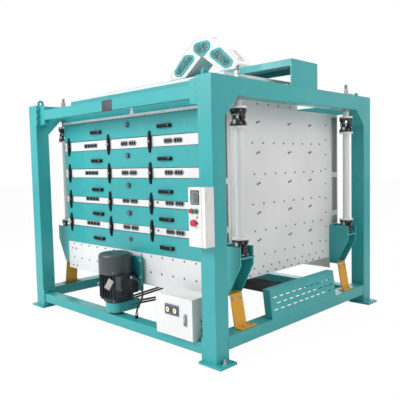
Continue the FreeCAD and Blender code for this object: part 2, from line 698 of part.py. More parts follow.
def covers():
    """The apron under the drawers, the trim above them and the lid with its feed chest."""
    x, y = "(box_width/2)", "(box_depth/2)"
    wide = f"({x}-box_wall+drawer_overlap)"
    node("apron_panel", block(
        f"-{wide}", f"-{y}-apron_thickness", "apron_bottom", f"2*{wide}", "apron_thickness",
        "deck_bottom_5-apron_bottom-apron_gap"))
    top = "(box_top+lid)"
    roof, under = f"({top}+chest_height)", f"({top}+chest_height-chest_wall)"
    front, back = f"(-{y}+chest_front)", f"(-{y}+chest_front+chest_depth)"
    node("front_trim", group([
        block(f"-{wide}", f"-{y}", top, f"2*{wide}", "trim_depth", "trim_height"),
        panel(f"-{wide}", wide, f"{front}-chest_board", front, top, f"{roof}-chest_band"),
    ]))
    front_in, back_in = f"({front}+chest_wall)", f"({back}-chest_wall)"
    inside, neck = f"({x}-chest_wall)", "(neck_half+neck_wall)"
    near, far = f"({SPOUT_Y}-{neck})", f"({SPOUT_Y}+{neck})"
    left, right = SPOUTS
    parts = [
        panel(f"-{x}", x, f"-{y}", front, "box_top", top),
        panel(f"-{x}", x, back, y, "box_top", top),
        panel(f"-{x}", x, front, front_in, "box_top", roof),
        panel(f"-{x}", x, back_in, back, "box_top", roof),
        panel(f"-{x}", f"-{inside}", front_in, back_in, "box_top", roof),
        panel(inside, x, front_in, back_in, "box_top", roof),
        panel(f"-{inside}", inside, front_in, near, under, roof),
        panel(f"-{inside}", inside, far, back_in, under, roof),
        panel(f"-{inside}", f"{left}-{neck}", near, far, under, roof),
        panel(f"{left}+{neck}", f"{right}-{neck}", near, far, under, roof),
        panel(f"{right}+{neck}", inside, near, far, under, roof),
    ]
    for spout in SPOUTS:
        parts += square_duct(spout, "neck_half", "neck_wall", under, f"({roof}+neck_height)")
    node("feed_chest", group(parts))


SPOUTS = tuple(f"(fork_x+{side}*(fork_half+fork_crotch_half)/2)" for side in (-1, 1))
SPOUT_Y = "(fork_depth/2-gantry_half)"


def discharge_hopper():
    """A trough with a sloping floor under the rear of the box and four outlets to the rear."""
    hopper = body()
    top, end = "box_bottom", "(box_depth/2)"
    wedge = [("hopper_front", top), (end, f"{top}-hopper_drop"), (end, top)]
    pad(hopper, "YZ", 0, [wedge], "2*hopper_half", both=True)
    slope = f"hopper_drop/({end}-hopper_front)"
    inner = [
        ("hopper_front+5*hopper_wall", f"{top}+1"),
        (f"{end}-hopper_wall",
         f"{top}+hopper_wall-{slope}*({end}-hopper_wall-hopper_front)"),
        (f"{end}-hopper_wall", f"{top}+1"),
    ]
    pocket(hopper, "YZ", 0, [inner], "2*(hopper_half-hopper_wall)", both=True)
    spots = [(f"{k}*outlet_pitch/2", f"{top}-outlet_drop") for k in (-3, -1, 1, 3)]
    pad(hopper, "XZ", f"-{end}-outlet_length", [(x, z, "outlet_flange") for x, z in spots],
        "outlet_length")
    pocket(hopper, "XZ", f"-{end}-outlet_length", [(x, z, "outlet_bore") for x, z in spots],
           "outlet_length+2*hopper_wall", back=True)
    node("discharge_hopper", hopper)


def gantry():
    """A sheet bridge on the side frames' top beams, with end plates, feet and lips."""
    out = "(frame_width/2-gantry_inset)"
    inside, ceiling = f"({out}-gantry_sheet)", "(gantry_top-gantry_sheet)"
    hole = "(spout_half+spout_wall+seal_gap)"
    near, far = f"({SPOUT_Y}-{hole})", f"({SPOUT_Y}+{hole})"
    left, right = SPOUTS
    parts = [
        panel(f"-{inside}", inside, "-gantry_half", near, ceiling, "gantry_top"),
        panel(f"-{inside}", inside, far, "gantry_half", ceiling, "gantry_top"),
        panel(f"-{inside}", f"{left}-{hole}", near, far, ceiling, "gantry_top"),
        panel(f"{left}+{hole}", f"{right}-{hole}", near, far, ceiling, "gantry_top"),
        panel(f"{right}+{hole}", inside, near, far, ceiling, "gantry_top"),
    ]
    for side in (-1, 1):
        plate, foot = mirrored(side, inside, out), mirrored(side, f"{out}-gantry_foot", inside)
        lip = mirrored(side, "gantry_half-gantry_sheet", "gantry_half")
        parts += [
            panel(*plate, "-gantry_half", "gantry_half", "frame_height", "gantry_top"),
            panel(*foot, "-gantry_half", "gantry_half", "frame_height",
                  "frame_height+gantry_sheet"),
            panel(f"-{inside}", inside, *lip, f"{ceiling}-gantry_lip", ceiling),
        ]
    node("feed_gantry", group(parts))


def sheet_piece(corners, front, back):
    """A piece of sheet: an outline in X and Z between two places along Y."""
    piece = body()
    pad(piece, "XZ", f"-({back})", [corners], f"{back}-({front})")
    return piece


def arm_corners(side, inset):
    """The upper corners of one arm, from its foot to the crown, moved in by a wall."""
    corners = [
        (f"fork_half-{inset}", "gantry_top"),
        (f"fork_half-{inset}", "gantry_top+fork_foot"),
        (f"fork_knee_half-{inset}", f"gantry_top+fork_knee-0.4*{inset}"),
        (f"fork_shoulder_half-0.4*{inset}", f"gantry_top+fork_shoulder-{inset}"),
        (f"fork_crown_half-0.4*{inset}", f"gantry_top+fork_height-{inset}"),
    ]
    return [(f"fork_x+{side}*({x})", z) for x, z in corners]


def arm(side, spout, near, far):
    """The sloping walls, the foot's floor and the square spout of one arm."""
    outer, inner = arm_corners(side, "0"), arm_corners(side, "fork_wall")
    parts = [
        sheet_piece([outer[k], outer[k + 1], inner[k + 1], inner[k]], near, far)
        for k in range(4)
    ]
    low = f"fork_x+{side}*fork_crotch_half"
    parts.append(sheet_piece([
        (low, "gantry_top"), ("fork_x", "gantry_top+fork_crotch"),
        ("fork_x", "gantry_top+fork_crotch+1.4*fork_wall"),
        (f"{low}+{side}*1.9*fork_wall", "gantry_top"),
    ], near, far))
    floor, hole = "(gantry_top+fork_wall)", "(spout_half+spout_wall)"
    middle = "(fork_half+fork_crotch_half)/2"
    for x0, x1 in (mirrored(side, "fork_crotch_half+1.9*fork_wall", f"{middle}-{hole}"),
                   mirrored(side, f"{middle}+{hole}", "fork_half-fork_wall")):
        parts.append(panel(f"fork_x+{x0}", f"fork_x+{x1}", near, far, "gantry_top", floor))
    for y0, y1 in ((near, f"({SPOUT_Y}-{hole})"), (f"({SPOUT_Y}+{hole})", far)):
        parts.append(panel(f"{spout}-{hole}", f"{spout}+{hole}", y0, y1, "gantry_top", floor))
    return parts + square_duct(spout, "spout_half", "spout_wall", "spout_end", floor)


def window_shape(reach, deep, start):
    """The prisms of the three windows, grown by a rim, from a plane towards +Y."""
    front = -size("gantry_half") + start
    x, z = size("fork_x"), size("gantry_top")
    half, high, low = size("crown_half"), size("crown_top"), size("crown_foot")
    cores = [([(-half, high), (half, high), (0, low)], "crown_round")]
    for side in (-1, 1):
        spots = [(side * size(f"arm_{spot}_x"), size(f"arm_{spot}_z"))
                 for spot in ("top", "knee", "toe", "heel")]
        cores.append((spots, "arm_round"))
    found = []
    for corners, rounding in cores:
        spots = [Vector(x + across, front, z + up) for across, up in corners]
        core = Part.Face(Part.makePolygon(spots + spots[:1]))
        outline = core.makeOffset2D(size(rounding) + reach)
        found.append(outline.extrude(Vector(0, deep, 0)))
    return found


def distributor():
    """The forked feed duct on the gantry: face sheets with windows, two arms and an inlet neck."""
    front, back = "(-gantry_half)", "(fork_depth-gantry_half)"
    near, far = f"({front}+fork_wall)", f"({back}-fork_wall)"
    peak = "(gantry_top+fork_height)"
    faces, parts = [], []
    for side, spout in zip((-1, 1), SPOUTS):
        outline = arm_corners(side, "0") + [
            ("fork_x", peak), ("fork_x", "gantry_top+fork_crotch"),
            (f"fork_x+{side}*fork_crotch_half", "gantry_top"),
        ]
        faces.append(sheet_piece(outline, front, near))
        parts.append(sheet_piece(outline, far, back))
        parts += arm(side, spout, near, far)
    crown, lining = "fork_crown_half", "(fork_crown_half-0.4*fork_wall)"
    roof = [
        (f"fork_x-{crown}", peak), (f"fork_x+{crown}", peak),
        (f"fork_x+{lining}", f"{peak}-fork_wall"), (f"fork_x-{lining}", f"{peak}-fork_wall"),
    ]
    parts.append(cut(
        fuse(sheet_piece(roof, near, far),
             cylinder("fork_x", SPOUT_Y, peak, "feed_collar", "feed_collar_height")),
        cylinder("fork_x", SPOUT_Y, f"{peak}-2*fork_wall", "feed_bore",
                 "feed_collar_height+3*fork_wall"),
    ))
    doc.recompute()
    openings = Part.makeCompound(window_shape(0, 2 * size("fork_wall"), -1))
    shapes = [face.Shape.cut(openings) for face in faces] + [part.Shape for part in parts]
    fixed("feed_distributor", Part.makeCompound(shapes))
    thick, rim, gap = size("window_thickness"), size("window_rim"), size("seal_gap")
    seals = [
        whole.cut(hole) for whole, hole in
        zip(window_shape(rim, thick, -thick), window_shape(0, 3 * thick, -2 * thick))
    ]
    fixed("window_gaskets", Part.makeCompound(seals))
    fixed("window_panes", Part.makeCompound(window_shape(-gap, size("pane"), -size("pane"))))


# The motor cable's points, with Y from the motor's axis.
CABLE_ROUTE = (
    (194, -9, 440), (232, -9, 440), (270, -8, 437), (303, -7, 419), (327, -6, 389),
    (337, -5, 352), (332, -4, 314), (316, -3, 280), (294, -2, 249), (270, -1, 219),
    (256, 0, 193), (250, 0, 168), (250, 0, 140),
)


def motor_group():
    """The motor on its plate, with its cowl, terminal box, rotor, pulley and guard."""
    y = "-motor_y"
    face = "(box_depth/2+apron_thickness)"
    foot = "(motor_y-foot_plane)"
    node("motor_plate", fuse(
        block("-plate_half", f"-{foot}", "plate_bottom", "2*plate_half", "plate_thickness",
              "plate_height"),
        *[block(f"{x}", f"-{foot}+plate_thickness", "plate_bottom", "rail_width",
                f"{foot}-plate_thickness-{face}", "plate_height")
          for x in ("-rail_x-rail_width/2", "rail_x-rail_width/2")],
    ))
    stator = cylinder(0, y, "motor_bottom", "motor_radius", "motor_top-motor_bottom")
    shield = cone(0, y, "motor_bottom-shield", "shield_radius", "motor_radius+6", "shield")
    feet = [
        block(x, y, "motor_foot_bottom", "motor_foot_width", "foot_plane", "motor_foot_height")
        for x in ("-motor_foot_x-motor_foot_width", "motor_foot_x")
    ]
    neck = block(0, "-terminal_y-30", "terminal_bottom+14", "box_terminal_x", 60,
                 "terminal_height-28")
    spigot = cylinder(0, y, "motor_top", "cowl_radius-cowl_wall-seat", "cowl_spigot")
    doc.recompute()
    fins = []
    for k in range(32):
        turn = math.tau * k / 32
        if abs(turn - math.pi / 2) < 0.62 or min(turn, math.tau - turn) < 0.5:
            continue
        fin = Part.makeBox(
            size("fin_reach") + 4, size("fin_width"), size("motor_top") - size("motor_bottom") - 16,
            Vector(size("motor_radius") - 4, -size("fin_width") / 2, size("motor_bottom") + 8))
        fin.rotate(Vector(), Vector(0, 0, 1), math.degrees(turn))
        fin.translate(Vector(0, -size("motor_y"), 0))
        fins.append(fin)
    reach = (size("motor_radius") + size("eye_radius")) * math.sqrt(0.5)
    eye = Part.makeTorus(size("eye_radius"), size("eye_wire"),
                         Vector(-reach, -size("motor_y") - reach,
                                (size("motor_top") + size("motor_bottom")) / 2),
                         Vector(1, -1, 0))
    parts = [p.Shape for p in (shield, *feet, neck, spigot)] + fins + [eye]
    bore = Part.makeCylinder(size("shaft_radius") + size("pin_clearance"),
                             size("motor_top+cowl_height"), Vector(0, -size("motor_y"), 0))
    fixed("motor_frame", stator.Shape.multiFuse(parts).removeSplitter().cut(bore))

    cowl = Part.makeCylinder(size("cowl_radius"), size("cowl_height"),
                             Vector(0, -size("motor_y"), size("motor_top")))
    round_edge = [e for e in cowl.Edges if e.CenterOfMass.z > size("motor_top") + 100
                  and len(e.Vertexes) == 1]
    cowl = cowl.makeFillet(size("cowl_round"), round_edge[:1])
    hollow = Part.makeCylinder(size("cowl_radius") - size("cowl_wall"),
                               size("cowl_height") - size("cowl_wall") + 1,
                               Vector(0, -size("motor_y"), size("motor_top") - 1))
    top_edge = [e for e in hollow.Edges if e.CenterOfMass.z > size("motor_top") + 100
                and len(e.Vertexes) == 1]
    hollow = hollow.makeFillet(size("cowl_round") - size("cowl_wall"), top_edge[:1])
    slots = []
    for k in range(16):
        slot = Part.makeBox(size("cowl_slot_length"), size("cowl_slot"), 40,
                            Vector(36, -size("cowl_slot") / 2,
                                   size("motor_top") + size("cowl_height") - 20))
        slot.rotate(Vector(), Vector(0, 0, 1), 360 / 16 * k)
        slot.translate(Vector(0, -size("motor_y"), 0))
        slots.append(slot)
    fixed("fan_cowl", cowl.cut(hollow).cut(Part.makeCompound(slots)))

    near = CABLE_ROUTE[0]
    node("terminal_box", cut(fuse(
        block("box_terminal_x", "-terminal_y-terminal_width/2", "terminal_bottom",
              "terminal_depth-terminal_lid", "terminal_width", "terminal_height"),
        block("box_terminal_x+terminal_depth-terminal_lid", "-terminal_y-terminal_width/2-3",
              "terminal_bottom-3", "terminal_lid", "terminal_width+6", "terminal_height+6"),
        hexagon("box_terminal_x+terminal_depth", f"{y}+{near[1]}", near[2], "gland_radius",
                "gland_height", "x"),
    ), cylinder("box_terminal_x+terminal_depth", f"{y}+{near[1]}", near[2],
                "cable_radius+pin_clearance", "2*gland_height", "x")))
    shaft = cylinder(0, y, "shaft_end", "shaft_radius", "fan_bottom+fan_height-shaft_end")
    hub = cylinder(0, y, "fan_bottom", "fan_hub", "fan_height")
    blades = [
        block("-fan_radius", f"{y}-fan_blade/2", "fan_bottom", "2*fan_radius", "fan_blade",
              "fan_height"),
        block("-fan_blade/2", f"{y}-fan_radius", "fan_bottom", "fan_blade", "2*fan_radius",
              "fan_height"),
    ]
    node("motor_rotor", fuse(shaft, hub, *blades, *grooved(0, y, "pulley_radius", "pulley_rim")))


def grooved(x, y, root, rim):
    """A pulley of two belt grooves: its core and the walls beside each groove."""
    walls = [
        cylinder(x, y, f"belt_low+{k}*belt_pitch-sheave_gap-groove_wall", rim, "groove_wall")
        for k in (0, 1)
    ]
    walls.append(cylinder(x, y, "belt_low+belt_pitch+belt_height+sheave_gap", rim, "groove_wall"))
    core = cylinder(x, y, "belt_low-groove_wall", root,
                    "belt_pitch+belt_height+2*groove_wall")
    between = cylinder(x, y, "belt_low+belt_height+sheave_gap", rim,
                       "belt_pitch-belt_height-2*sheave_gap")
    return [core, between, *walls]


def belt_loop(reach):
    """The outline round both pulleys at a distance from their grooves."""
    small, large = size("pulley_radius") + reach, size("sheave_radius") + reach
    span = size("motor_y")
    lean = math.asin((large - small) / span)
    touch = Vector(math.cos(lean), -math.sin(lean), 0)
    other = Vector(-touch.x, touch.y, 0)
    far, near = Vector(0, -span, 0), Vector(0, 0, 0)
    return Part.Face(Part.Wire([
        Part.LineSegment(far + touch * small, near + touch * large).toShape(),
        Part.Arc(near + touch * large, near + Vector(0, large, 0), near + other * large).toShape(),
        Part.LineSegment(near + other * large, far + other * small).toShape(),
        Part.Arc(far + other * small, far - Vector(0, small, 0), far + touch * small).toShape(),
    ]))


def belt_drive():
    """Two belts, their guard, the frame under the box, its bearings and the turning weight."""
    gap, thick = size("sheave_gap"), size("belt_thickness")
    belts = []
    for k in (0, 1):
        ring = belt_loop(gap + thick).cut(belt_loop(gap))
        ring.translate(Vector(0, 0, size("belt_low") + k * size("belt_pitch")))
        belts.append(ring.extrude(Vector(0, 0, size("belt_height"))))
    fixed("drive_belts", Part.makeCompound(belts))

    def shroud(radius, low, high):
        return fuse(
            cylinder(0, "-motor_y", low, radius, f"{high}-({low})"),
            block(f"-({radius})", "-motor_y", low, f"2*({radius})", "guard_tail",
                  f"{high}-({low})"),
        )

    foot = "(motor_y-foot_plane)"
    guard = cut(
        shroud("guard_radius", "guard_bottom", "guard_top"),
        shroud("guard_radius-guard_wall", "guard_bottom-1", "guard_top-guard_wall"),
        cylinder(0, "-motor_y", "guard_bottom", "guard_hole", "guard_top"),
        block("-guard_radius+guard_wall", "-motor_y+guard_tail-1", "guard_bottom-1",
              "2*(guard_radius-guard_wall)", 2, "guard_top-guard_wall-guard_bottom+1"),
    )
    node("belt_guard", fuse(
        guard,
        block("-guard_tab_half", f"-{foot}-plate_thickness", "guard_top-guard_wall",
              "2*guard_tab_half", "plate_thickness", "guard_tab_top-guard_top+guard_wall"),
    ))

    channel = cut(
        block("-drive_half", "-drive_width/2", "drive_bottom", "2*drive_half", "drive_width",
              "drive_top-drive_bottom"),
        block("-drive_half-1", "-drive_width/2+drive_wall", "drive_bottom-1", "2*drive_half+2",
              "drive_width-2*drive_wall", "drive_top-drive_bottom-drive_wall+1"),
        cylinder(0, 0, "drive_bottom", "spindle_radius+5", "drive_top"),
    )
    plates = [
        block(x, "-drive_width/2", "drive_top", "hang_plate", "drive_width",
              "box_bottom-drive_top")
        for x in ("-hang_plate_x", "hang_plate_x-hang_plate")
    ]
    node("drive_frame", fuse(channel, *plates))
    node("bearing_housings", group([
        cut(cylinder(0, 0, z, "bearing_radius", "bearing_height"),
            cylinder(0, 0, f"{z}-1", "spindle_radius+pin_clearance", "bearing_height+2"))
        for z in ("drive_top", "(drive_top-drive_wall-bearing_height)")
    ]))
    spindle = cylinder(0, 0, "spindle_bottom", "spindle_radius", "spindle_top-spindle_bottom")
    half_disc = cut(
        cylinder(0, 0, "weight_bottom", "weight_radius", "weight_height"),
        block("-weight_radius-1", "spindle_radius+30", "weight_bottom-1", "2*weight_radius+2",
              "weight_radius", "weight_height+2"),
    )
    node("flywheel", fuse(spindle, half_disc, *grooved(0, 0, "sheave_radius", "sheave_rim")))


def step_plate():
    """A perforated sheet step that stands on the right side beam, leaning inwards."""
    step = body()
    foot = "(side_beam_bottom+side_beam_height)"
    edge, head = "(frame_width/2)", f"({foot}+step_rise)"
    sheet_profile = [
        (edge, foot), (f"{edge}-step_lean", head), (f"{edge}-step_lean-step_depth", head),
        (f"{edge}-step_lean-step_depth", f"{head}-step_sheet"),
        (f"{edge}-step_lean-step_sheet", f"{head}-step_sheet"),
        (f"{edge}-step_sheet", f"{foot}+step_sheet"),
        (f"{edge}-step_depth", f"{foot}+step_sheet"), (f"{edge}-step_depth", foot),
    ]
    pad(step, "XZ", "-step_rear", [sheet_profile], "step_front+step_rear")
    ends = [
        (edge, foot), (f"{edge}-step_lean", head), (f"{edge}-step_lean-step_depth", head),
        (f"{edge}-step_depth", foot),
    ]
    pad(step, "XZ", "step_front-step_sheet", [ends], "step_sheet")
    pad(step, "XZ", "-step_rear", [ends], "step_sheet")
    slots = []
    for row in (0, 1, 2):
        y = f"(-step_front+slot_start+{row % 2}*slot_pitch/2)"
        z = f"({foot}+step_rise/2+{row - 1}*slot_row)"
        slots.append(oblong(f"{y}-slot_length/2", f"{z}-slot_width/2",
                            f"{y}+slot_length/2", f"{z}+slot_width/2"))
    column = pocket(step, "YZ", f"{edge}+1", slots, "step_lean+2*step_sheet+2")
    doc.recompute()
    columns = step.newObject("PartDesign::LinearPattern", "Columns")
    columns.Originals = [column]
    columns.Direction = ([o for o in step.Origin.OriginFeatures if o.Role == "Y_Axis"][0], [""])
    bind(columns, Length="(slot_columns-1)*slot_pitch", Occurrences="slot_columns")
    step.Tip = columns
    node("step_plate", step)


def control_box():
    """The control box on the front right post, with a breaker window and three buttons."""
    case = body()
    left = "(control_x-control_width/2)"
    back, top = "(frame_depth/2)", "(control_bottom+control_height)"
    pad(case, "XZ", back,
        [oblong(left, "control_bottom", f"{left}+control_width", top)], "control_depth")
    front = f"({back}+control_depth)"
    pocket(case, "XZ", back,
           [oblong(f"{left}+case_wall", "control_bottom+case_wall",
                   f"{left}+control_width-case_wall", f"{top}-case_wall")],
           "control_depth-case_wall", back=True)
    pad(case, "XZ", back,
        [oblong(left, "control_bottom", f"{left}+control_width", top)], "case_wall")

    def opening(grow):
        low, high = f"{top}-window_down-window_height-{grow}", f"{top}-window_down+{grow}"
        return oblong(f"{left}+window_left-{grow}", low,
                      f"{left}+window_left+window_width+{grow}", high)

    pad(case, "XZ", f"{front}-recess-case_wall", [opening("case_wall")], "recess+case_wall")
    pocket(case, "XZ", front, [opening("0")], "recess")
    holes = [
        (f"{left}+{aside}", f"{top}-{down}", "button_radius+button_clearance")
        for aside, down in (("stop_left", "button_down"), ("start_left", "button_down"),
                            ("emergency_left", "emergency_down"))
    ]
    pad(case, "XZ", f"{front}-control_depth/2", [(x, z, f"{r}+case_wall") for x, z, r in holes],
        "control_depth/2")
    pocket(case, "XZ", front, holes, "control_depth/2")
    node("control_box", case)
    for name, aside, down, head, thick in (
        ("stop_button", "stop_left", "button_down", "button_head", "cap_height"),
        ("start_button", "start_left", "button_down", "button_head", "cap_height"),
        ("emergency_stop", "emergency_left", "emergency_down", "emergency_radius",
         "2*cap_height"),
    ):
        x, z = f"{left}+{aside}", f"{top}-{down}"
        node(name, fuse(
            cylinder(x, f"-{front}-button_reach", z, "button_radius",
                     "button_reach+button_depth", "y"),
            cylinder(x, f"-{front}-button_reach-{thick}", z, head, thick, "y"),
        ))
    z = f"({top}-window_down-window_height/2)"
    x = f"({left}+window_left+window_width/2)"
    pivot_y = f"(-{front}+recess-lever_boss-seat)"
    node("breaker_lever", fuse(
        cylinder(f"{x}-lever_width/2", pivot_y, z, "lever_boss", "lever_width", "x"),
        block(f"{x}-lever_width/2", f"{pivot_y}-lever_reach", f"{z}-lever_boss/2",
              "lever_width", "lever_reach", "lever_boss"),
    ))


def cabinet():
    """The electrical cabinet on the front bottom beam, with a hinged door and its gear plate."""
    floor = "(bottom_beam_centre+bottom_beam_height/2)"
    left, right = "cabinet_left", "(cabinet_left+cabinet_width)"
    front = "(cabinet_front-door)"
    shell = cut(
        block(left, f"-{front}", floor, "cabinet_width", "cabinet_depth-door", "cabinet_height"),
        block(f"{left}+cabinet_wall", f"-{front}-1", f"{floor}+cabinet_wall",
              "cabinet_width-2*cabinet_wall", "cabinet_depth-door-cabinet_wall+1",
              "cabinet_height-2*cabinet_wall"),
    )
    hinge_x, hinge_y = f"({left}-hinge_radius)", f"(-{front}-hinge_radius)"
    levels = (f"({floor}+hinge_inset)", f"({floor}+cabinet_height-hinge_inset-2*hinge_length)")
    sockets = []
    for z in levels:
        sockets += [
            cylinder(hinge_x, hinge_y, z, "hinge_radius", "hinge_length"),
            block(hinge_x, hinge_y, z, "hinge_radius", "hinge_leaf", "hinge_length"),
            cylinder(hinge_x, hinge_y, z, "hinge_pin", "2*hinge_length"),
        ]
    node("cabinet_shell", fuse(shell, *sockets))
    panel = cut(
        block(f"{left}+door_gap", "-cabinet_front", f"{floor}+door_gap", "cabinet_width-door_gap",
              "door-seat", "cabinet_height-2*door_gap"),
        cylinder(f"{left}+lock_x", "-cabinet_front-1", f"{floor}+lock_z",
                 "lock_radius+pin_clearance", "door+2", "y"),
    )
    knuckles, bores = [], []
    for z in levels:
        above = f"({z}+hinge_length+seat)"
        knuckles += [
            cylinder(hinge_x, hinge_y, above, "hinge_radius", "hinge_length-seat"),
            block(hinge_x, f"{hinge_y}-hinge_radius", above, "hinge_radius+door_gap+1",
                  "hinge_radius-1", "hinge_length-seat"),
        ]
        bores.append(cylinder(hinge_x, hinge_y, z, "hinge_pin+pin_clearance", "3*hinge_length"))
    node("cabinet_door", cut(fuse(panel, *knuckles), *bores))
    x, z = f"({left}+lock_x)", f"({floor}+lock_z)"
    node("door_lock", fuse(
        cylinder(x, "-cabinet_front-4", z, "lock_radius", "door+6", "y"),
        block(f"{x}-lock_grip_width/2", "-cabinet_front-lock_grip_depth-seat",
              f"{z}-lock_grip/2", "lock_grip_width", "lock_grip_depth", "lock_grip"),
        block(f"{x}-8", f"-{front}+1.5", f"{z}-8", "56", 4, 16),
    ))
    meters = [
        block(f"{left}+meter_left+{k}*meter_pitch", "-cabinet_front-meter_depth",
              f"{floor}+cabinet_height-meter_top-meter_height", "meter_width", "meter_depth",
              "meter_height")
        for k in (0, 1)
    ]
    node("panel_meters", group(meters))
    back = f"(-cabinet_front+cabinet_depth-cabinet_wall)"
    plate = block(f"{left}+30", f"{back}-gear_plate", f"{floor}+30", "cabinet_width-60",
                  "gear_plate", "cabinet_height-60")
    gear = [
        block(f"{left}+60+{k}*80", f"{back}-gear_plate-gear_depth", f"{floor}+130", 50,
              "gear_depth", 80)
        for k in (0, 1, 2)
    ]
    gear.append(block(f"{left}+60", f"{back}-gear_plate-30", f"{floor}+50", 220, 30, 40))
    node("gear_plate", group([plate, *gear]))


def cable_run(points, radius):
    """A tube along straight runs joined by tangent arcs; also its bends' radii."""
    spots = [Vector(*p) for p in points]
    edges, bends, start = [], [], spots[0]
    for before, corner, after in zip(spots, spots[1:], spots[2:]):
        back, on = before - corner, after - corner
        reach = 0.45 * min(back.Length, on.Length)
        turn = math.pi - back.getAngle(on)
        bends.append(reach / math.tan(turn / 2))
        back.normalize()
        on.normalize()
        enter, leave = corner + back * reach, corner + on * reach
        inward = back + on
        inward.normalize()
        middle = corner + inward * (bends[-1] / math.cos(turn / 2) - bends[-1])
        edges += [Part.LineSegment(start, enter).toShape(),
                  Part.Arc(enter, middle, leave).toShape()]
        start = leave
    edges.append(Part.LineSegment(start, spots[-1]).toShape())
    path = Part.Wire(edges)
    circle = Part.Wire(Part.Circle(spots[0], spots[1] - spots[0], radius).toShape())
    tube = path.makePipeShell([circle], True, True)
    print("cable bend radii", [round(b) for b in bends])
    print("cable volume ratio", tube.Volume / (math.pi * radius**2 * path.Length))
    print("cable length", round(path.Length))
    return tube


def cables():
    """The motor's cable, from its terminal box to the gland on the front bottom beam."""
    axis = size("motor_y")
    route = [(x, y - axis, z) for x, y, z in CABLE_ROUTE]
    fixed("motor_cable", cable_run(route, size("cable_radius")))
    beam = "(bottom_beam_centre+bottom_beam_height/2)"
    far = CABLE_ROUTE[-1]
    side_x = "(cabinet_left+cabinet_width)"
    glands = [cut(
        hexagon(far[0], f"-motor_y+{far[1]}", beam, "gland_radius", "gland_height"),
        cylinder(far[0], f"-motor_y+{far[1]}", beam, "cable_radius+pin_clearance",
                 "2*gland_height"),
    )]
    glands += [
        hexagon(side_x, "-cabinet_front+cabinet_depth/2", f"{beam}+{up}", "gland_radius",
                "gland_height", "x")
        for up in (60, 120)
    ]
    node("cable_glands", group(glands))


side_frame("side_frame_left", -1)
side_frame("side_frame_right", 1)
cross_beam("front_top_beam", -1, "top_beam_centre", True)
cross_beam("rear_top_beam", 1, "top_beam_centre", True)
cross_beam("front_bottom_beam", -1, "bottom_beam_centre", False)
cross_beam("rear_bottom_beam", 1, "bottom_beam_centre", False)
frame_bolts()
hangers()
hanger_brackets()
transport_brackets()
sieve_box()
drawers()
drawer_fittings()
covers()
discharge_hopper()
gantry()
distributor()
motor_group()
belt_drive()
step_plate()
control_box()
cabinet()
cables()
doc.recompute()

failed = [o.Name for o in doc.Objects if {"Invalid", "Error"} & set(o.State)]
if failed:
    raise SystemExit(f"these objects failed: {failed}")
os.makedirs("parts", exist_ok=True)
for part in nodes:
    shape = part.Shape
    if shape.isNull() or not shape.isValid() or not shape.Solids:
        raise SystemExit(f"{part.Label} has no valid shape")
    shape.exportStep(f"parts/{part.Label}.step")
print(len(nodes), "nodes written")
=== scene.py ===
import math

import bmesh
import bpy
from mathutils import Matrix, Vector


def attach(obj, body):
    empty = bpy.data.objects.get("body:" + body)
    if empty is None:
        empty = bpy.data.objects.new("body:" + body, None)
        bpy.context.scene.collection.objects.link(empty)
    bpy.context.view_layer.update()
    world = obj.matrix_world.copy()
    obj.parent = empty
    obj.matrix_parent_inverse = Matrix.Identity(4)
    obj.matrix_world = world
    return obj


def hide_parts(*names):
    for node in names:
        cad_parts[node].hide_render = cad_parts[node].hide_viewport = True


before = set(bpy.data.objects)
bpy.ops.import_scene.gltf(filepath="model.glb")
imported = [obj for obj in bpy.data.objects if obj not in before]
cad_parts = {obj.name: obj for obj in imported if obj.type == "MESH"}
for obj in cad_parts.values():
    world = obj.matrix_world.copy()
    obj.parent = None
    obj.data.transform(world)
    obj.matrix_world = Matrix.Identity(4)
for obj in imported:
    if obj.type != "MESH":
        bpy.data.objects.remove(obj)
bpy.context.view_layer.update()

FORWARD, BACKWARD, RIGHT, UP, DOWN = (0, -1, 0), (0, 1, 0), (1, 0, 0), (0, 0, 1), (0, 0, -1)
CORNERS = ((1, -1), (-1, -1), (1, 1), (-1, 1))
HANGERS = ("front_right", "front_left", "rear_right", "rear_left")


def placed(name, data):
    """A new object of the scene."""
    made = bpy.data.objects.new(name, data)
    bpy.context.collection.objects.link(made)
    return made


# The camera stands at the photograph's place, in front and to the right.

AZIMUTH, PITCH, ROLL = 0.776528, -0.070475, -0.022556
FOCAL_PIXELS, IMAGE_PIXELS, SENSOR = 518.189, 400, 36
EYE = Vector((3.32913, -3.38218, 1.29811))
ahead = Vector((-math.sin(AZIMUTH) * math.cos(PITCH), math.cos(AZIMUTH) * math.cos(PITCH),
                math.sin(PITCH)))
level = Vector((math.cos(AZIMUTH), math.sin(AZIMUTH), 0))
upright = level.cross(ahead)
right = level * math.cos(ROLL) + upright * math.sin(ROLL)
up = upright * math.cos(ROLL) - level * math.sin(ROLL)
lens = bpy.data.cameras.new("camera")
lens.sensor_width = SENSOR
lens.lens = SENSOR * FOCAL_PIXELS / IMAGE_PIXELS
lens.clip_end = 100
camera = placed("camera", lens)
camera.matrix_world = Matrix.Translation(EYE) @ Matrix((right, up, -ahead)).transposed().to_4x4()
bpy.context.scene.camera = camera


# Materials


def linear(red, green, blue):
    """A colour written as it shows on a screen, 0 to 255, as the shader wants it."""
    parts = [c / 255 for c in (red, green, blue)]
    return tuple(c / 12.92 if c <= 0.04045 else ((c + 0.055) / 1.055) ** 2.4 for c in parts)


class Graph:
    """The node tree of a material or world."""

    def __init__(self, owner):
        owner.use_nodes = True
        self.tree = owner.node_tree

    def add(self, kind, **settings):
        made = self.tree.nodes.new(kind)
        for key, value in settings.items():
            if key.startswith("in_"):
                made.inputs[key[3:].replace("_", " ")].default_value = value
            else:
                setattr(made, key, value)
        return made

    def link(self, start, end):
        self.tree.links.new(start, end)


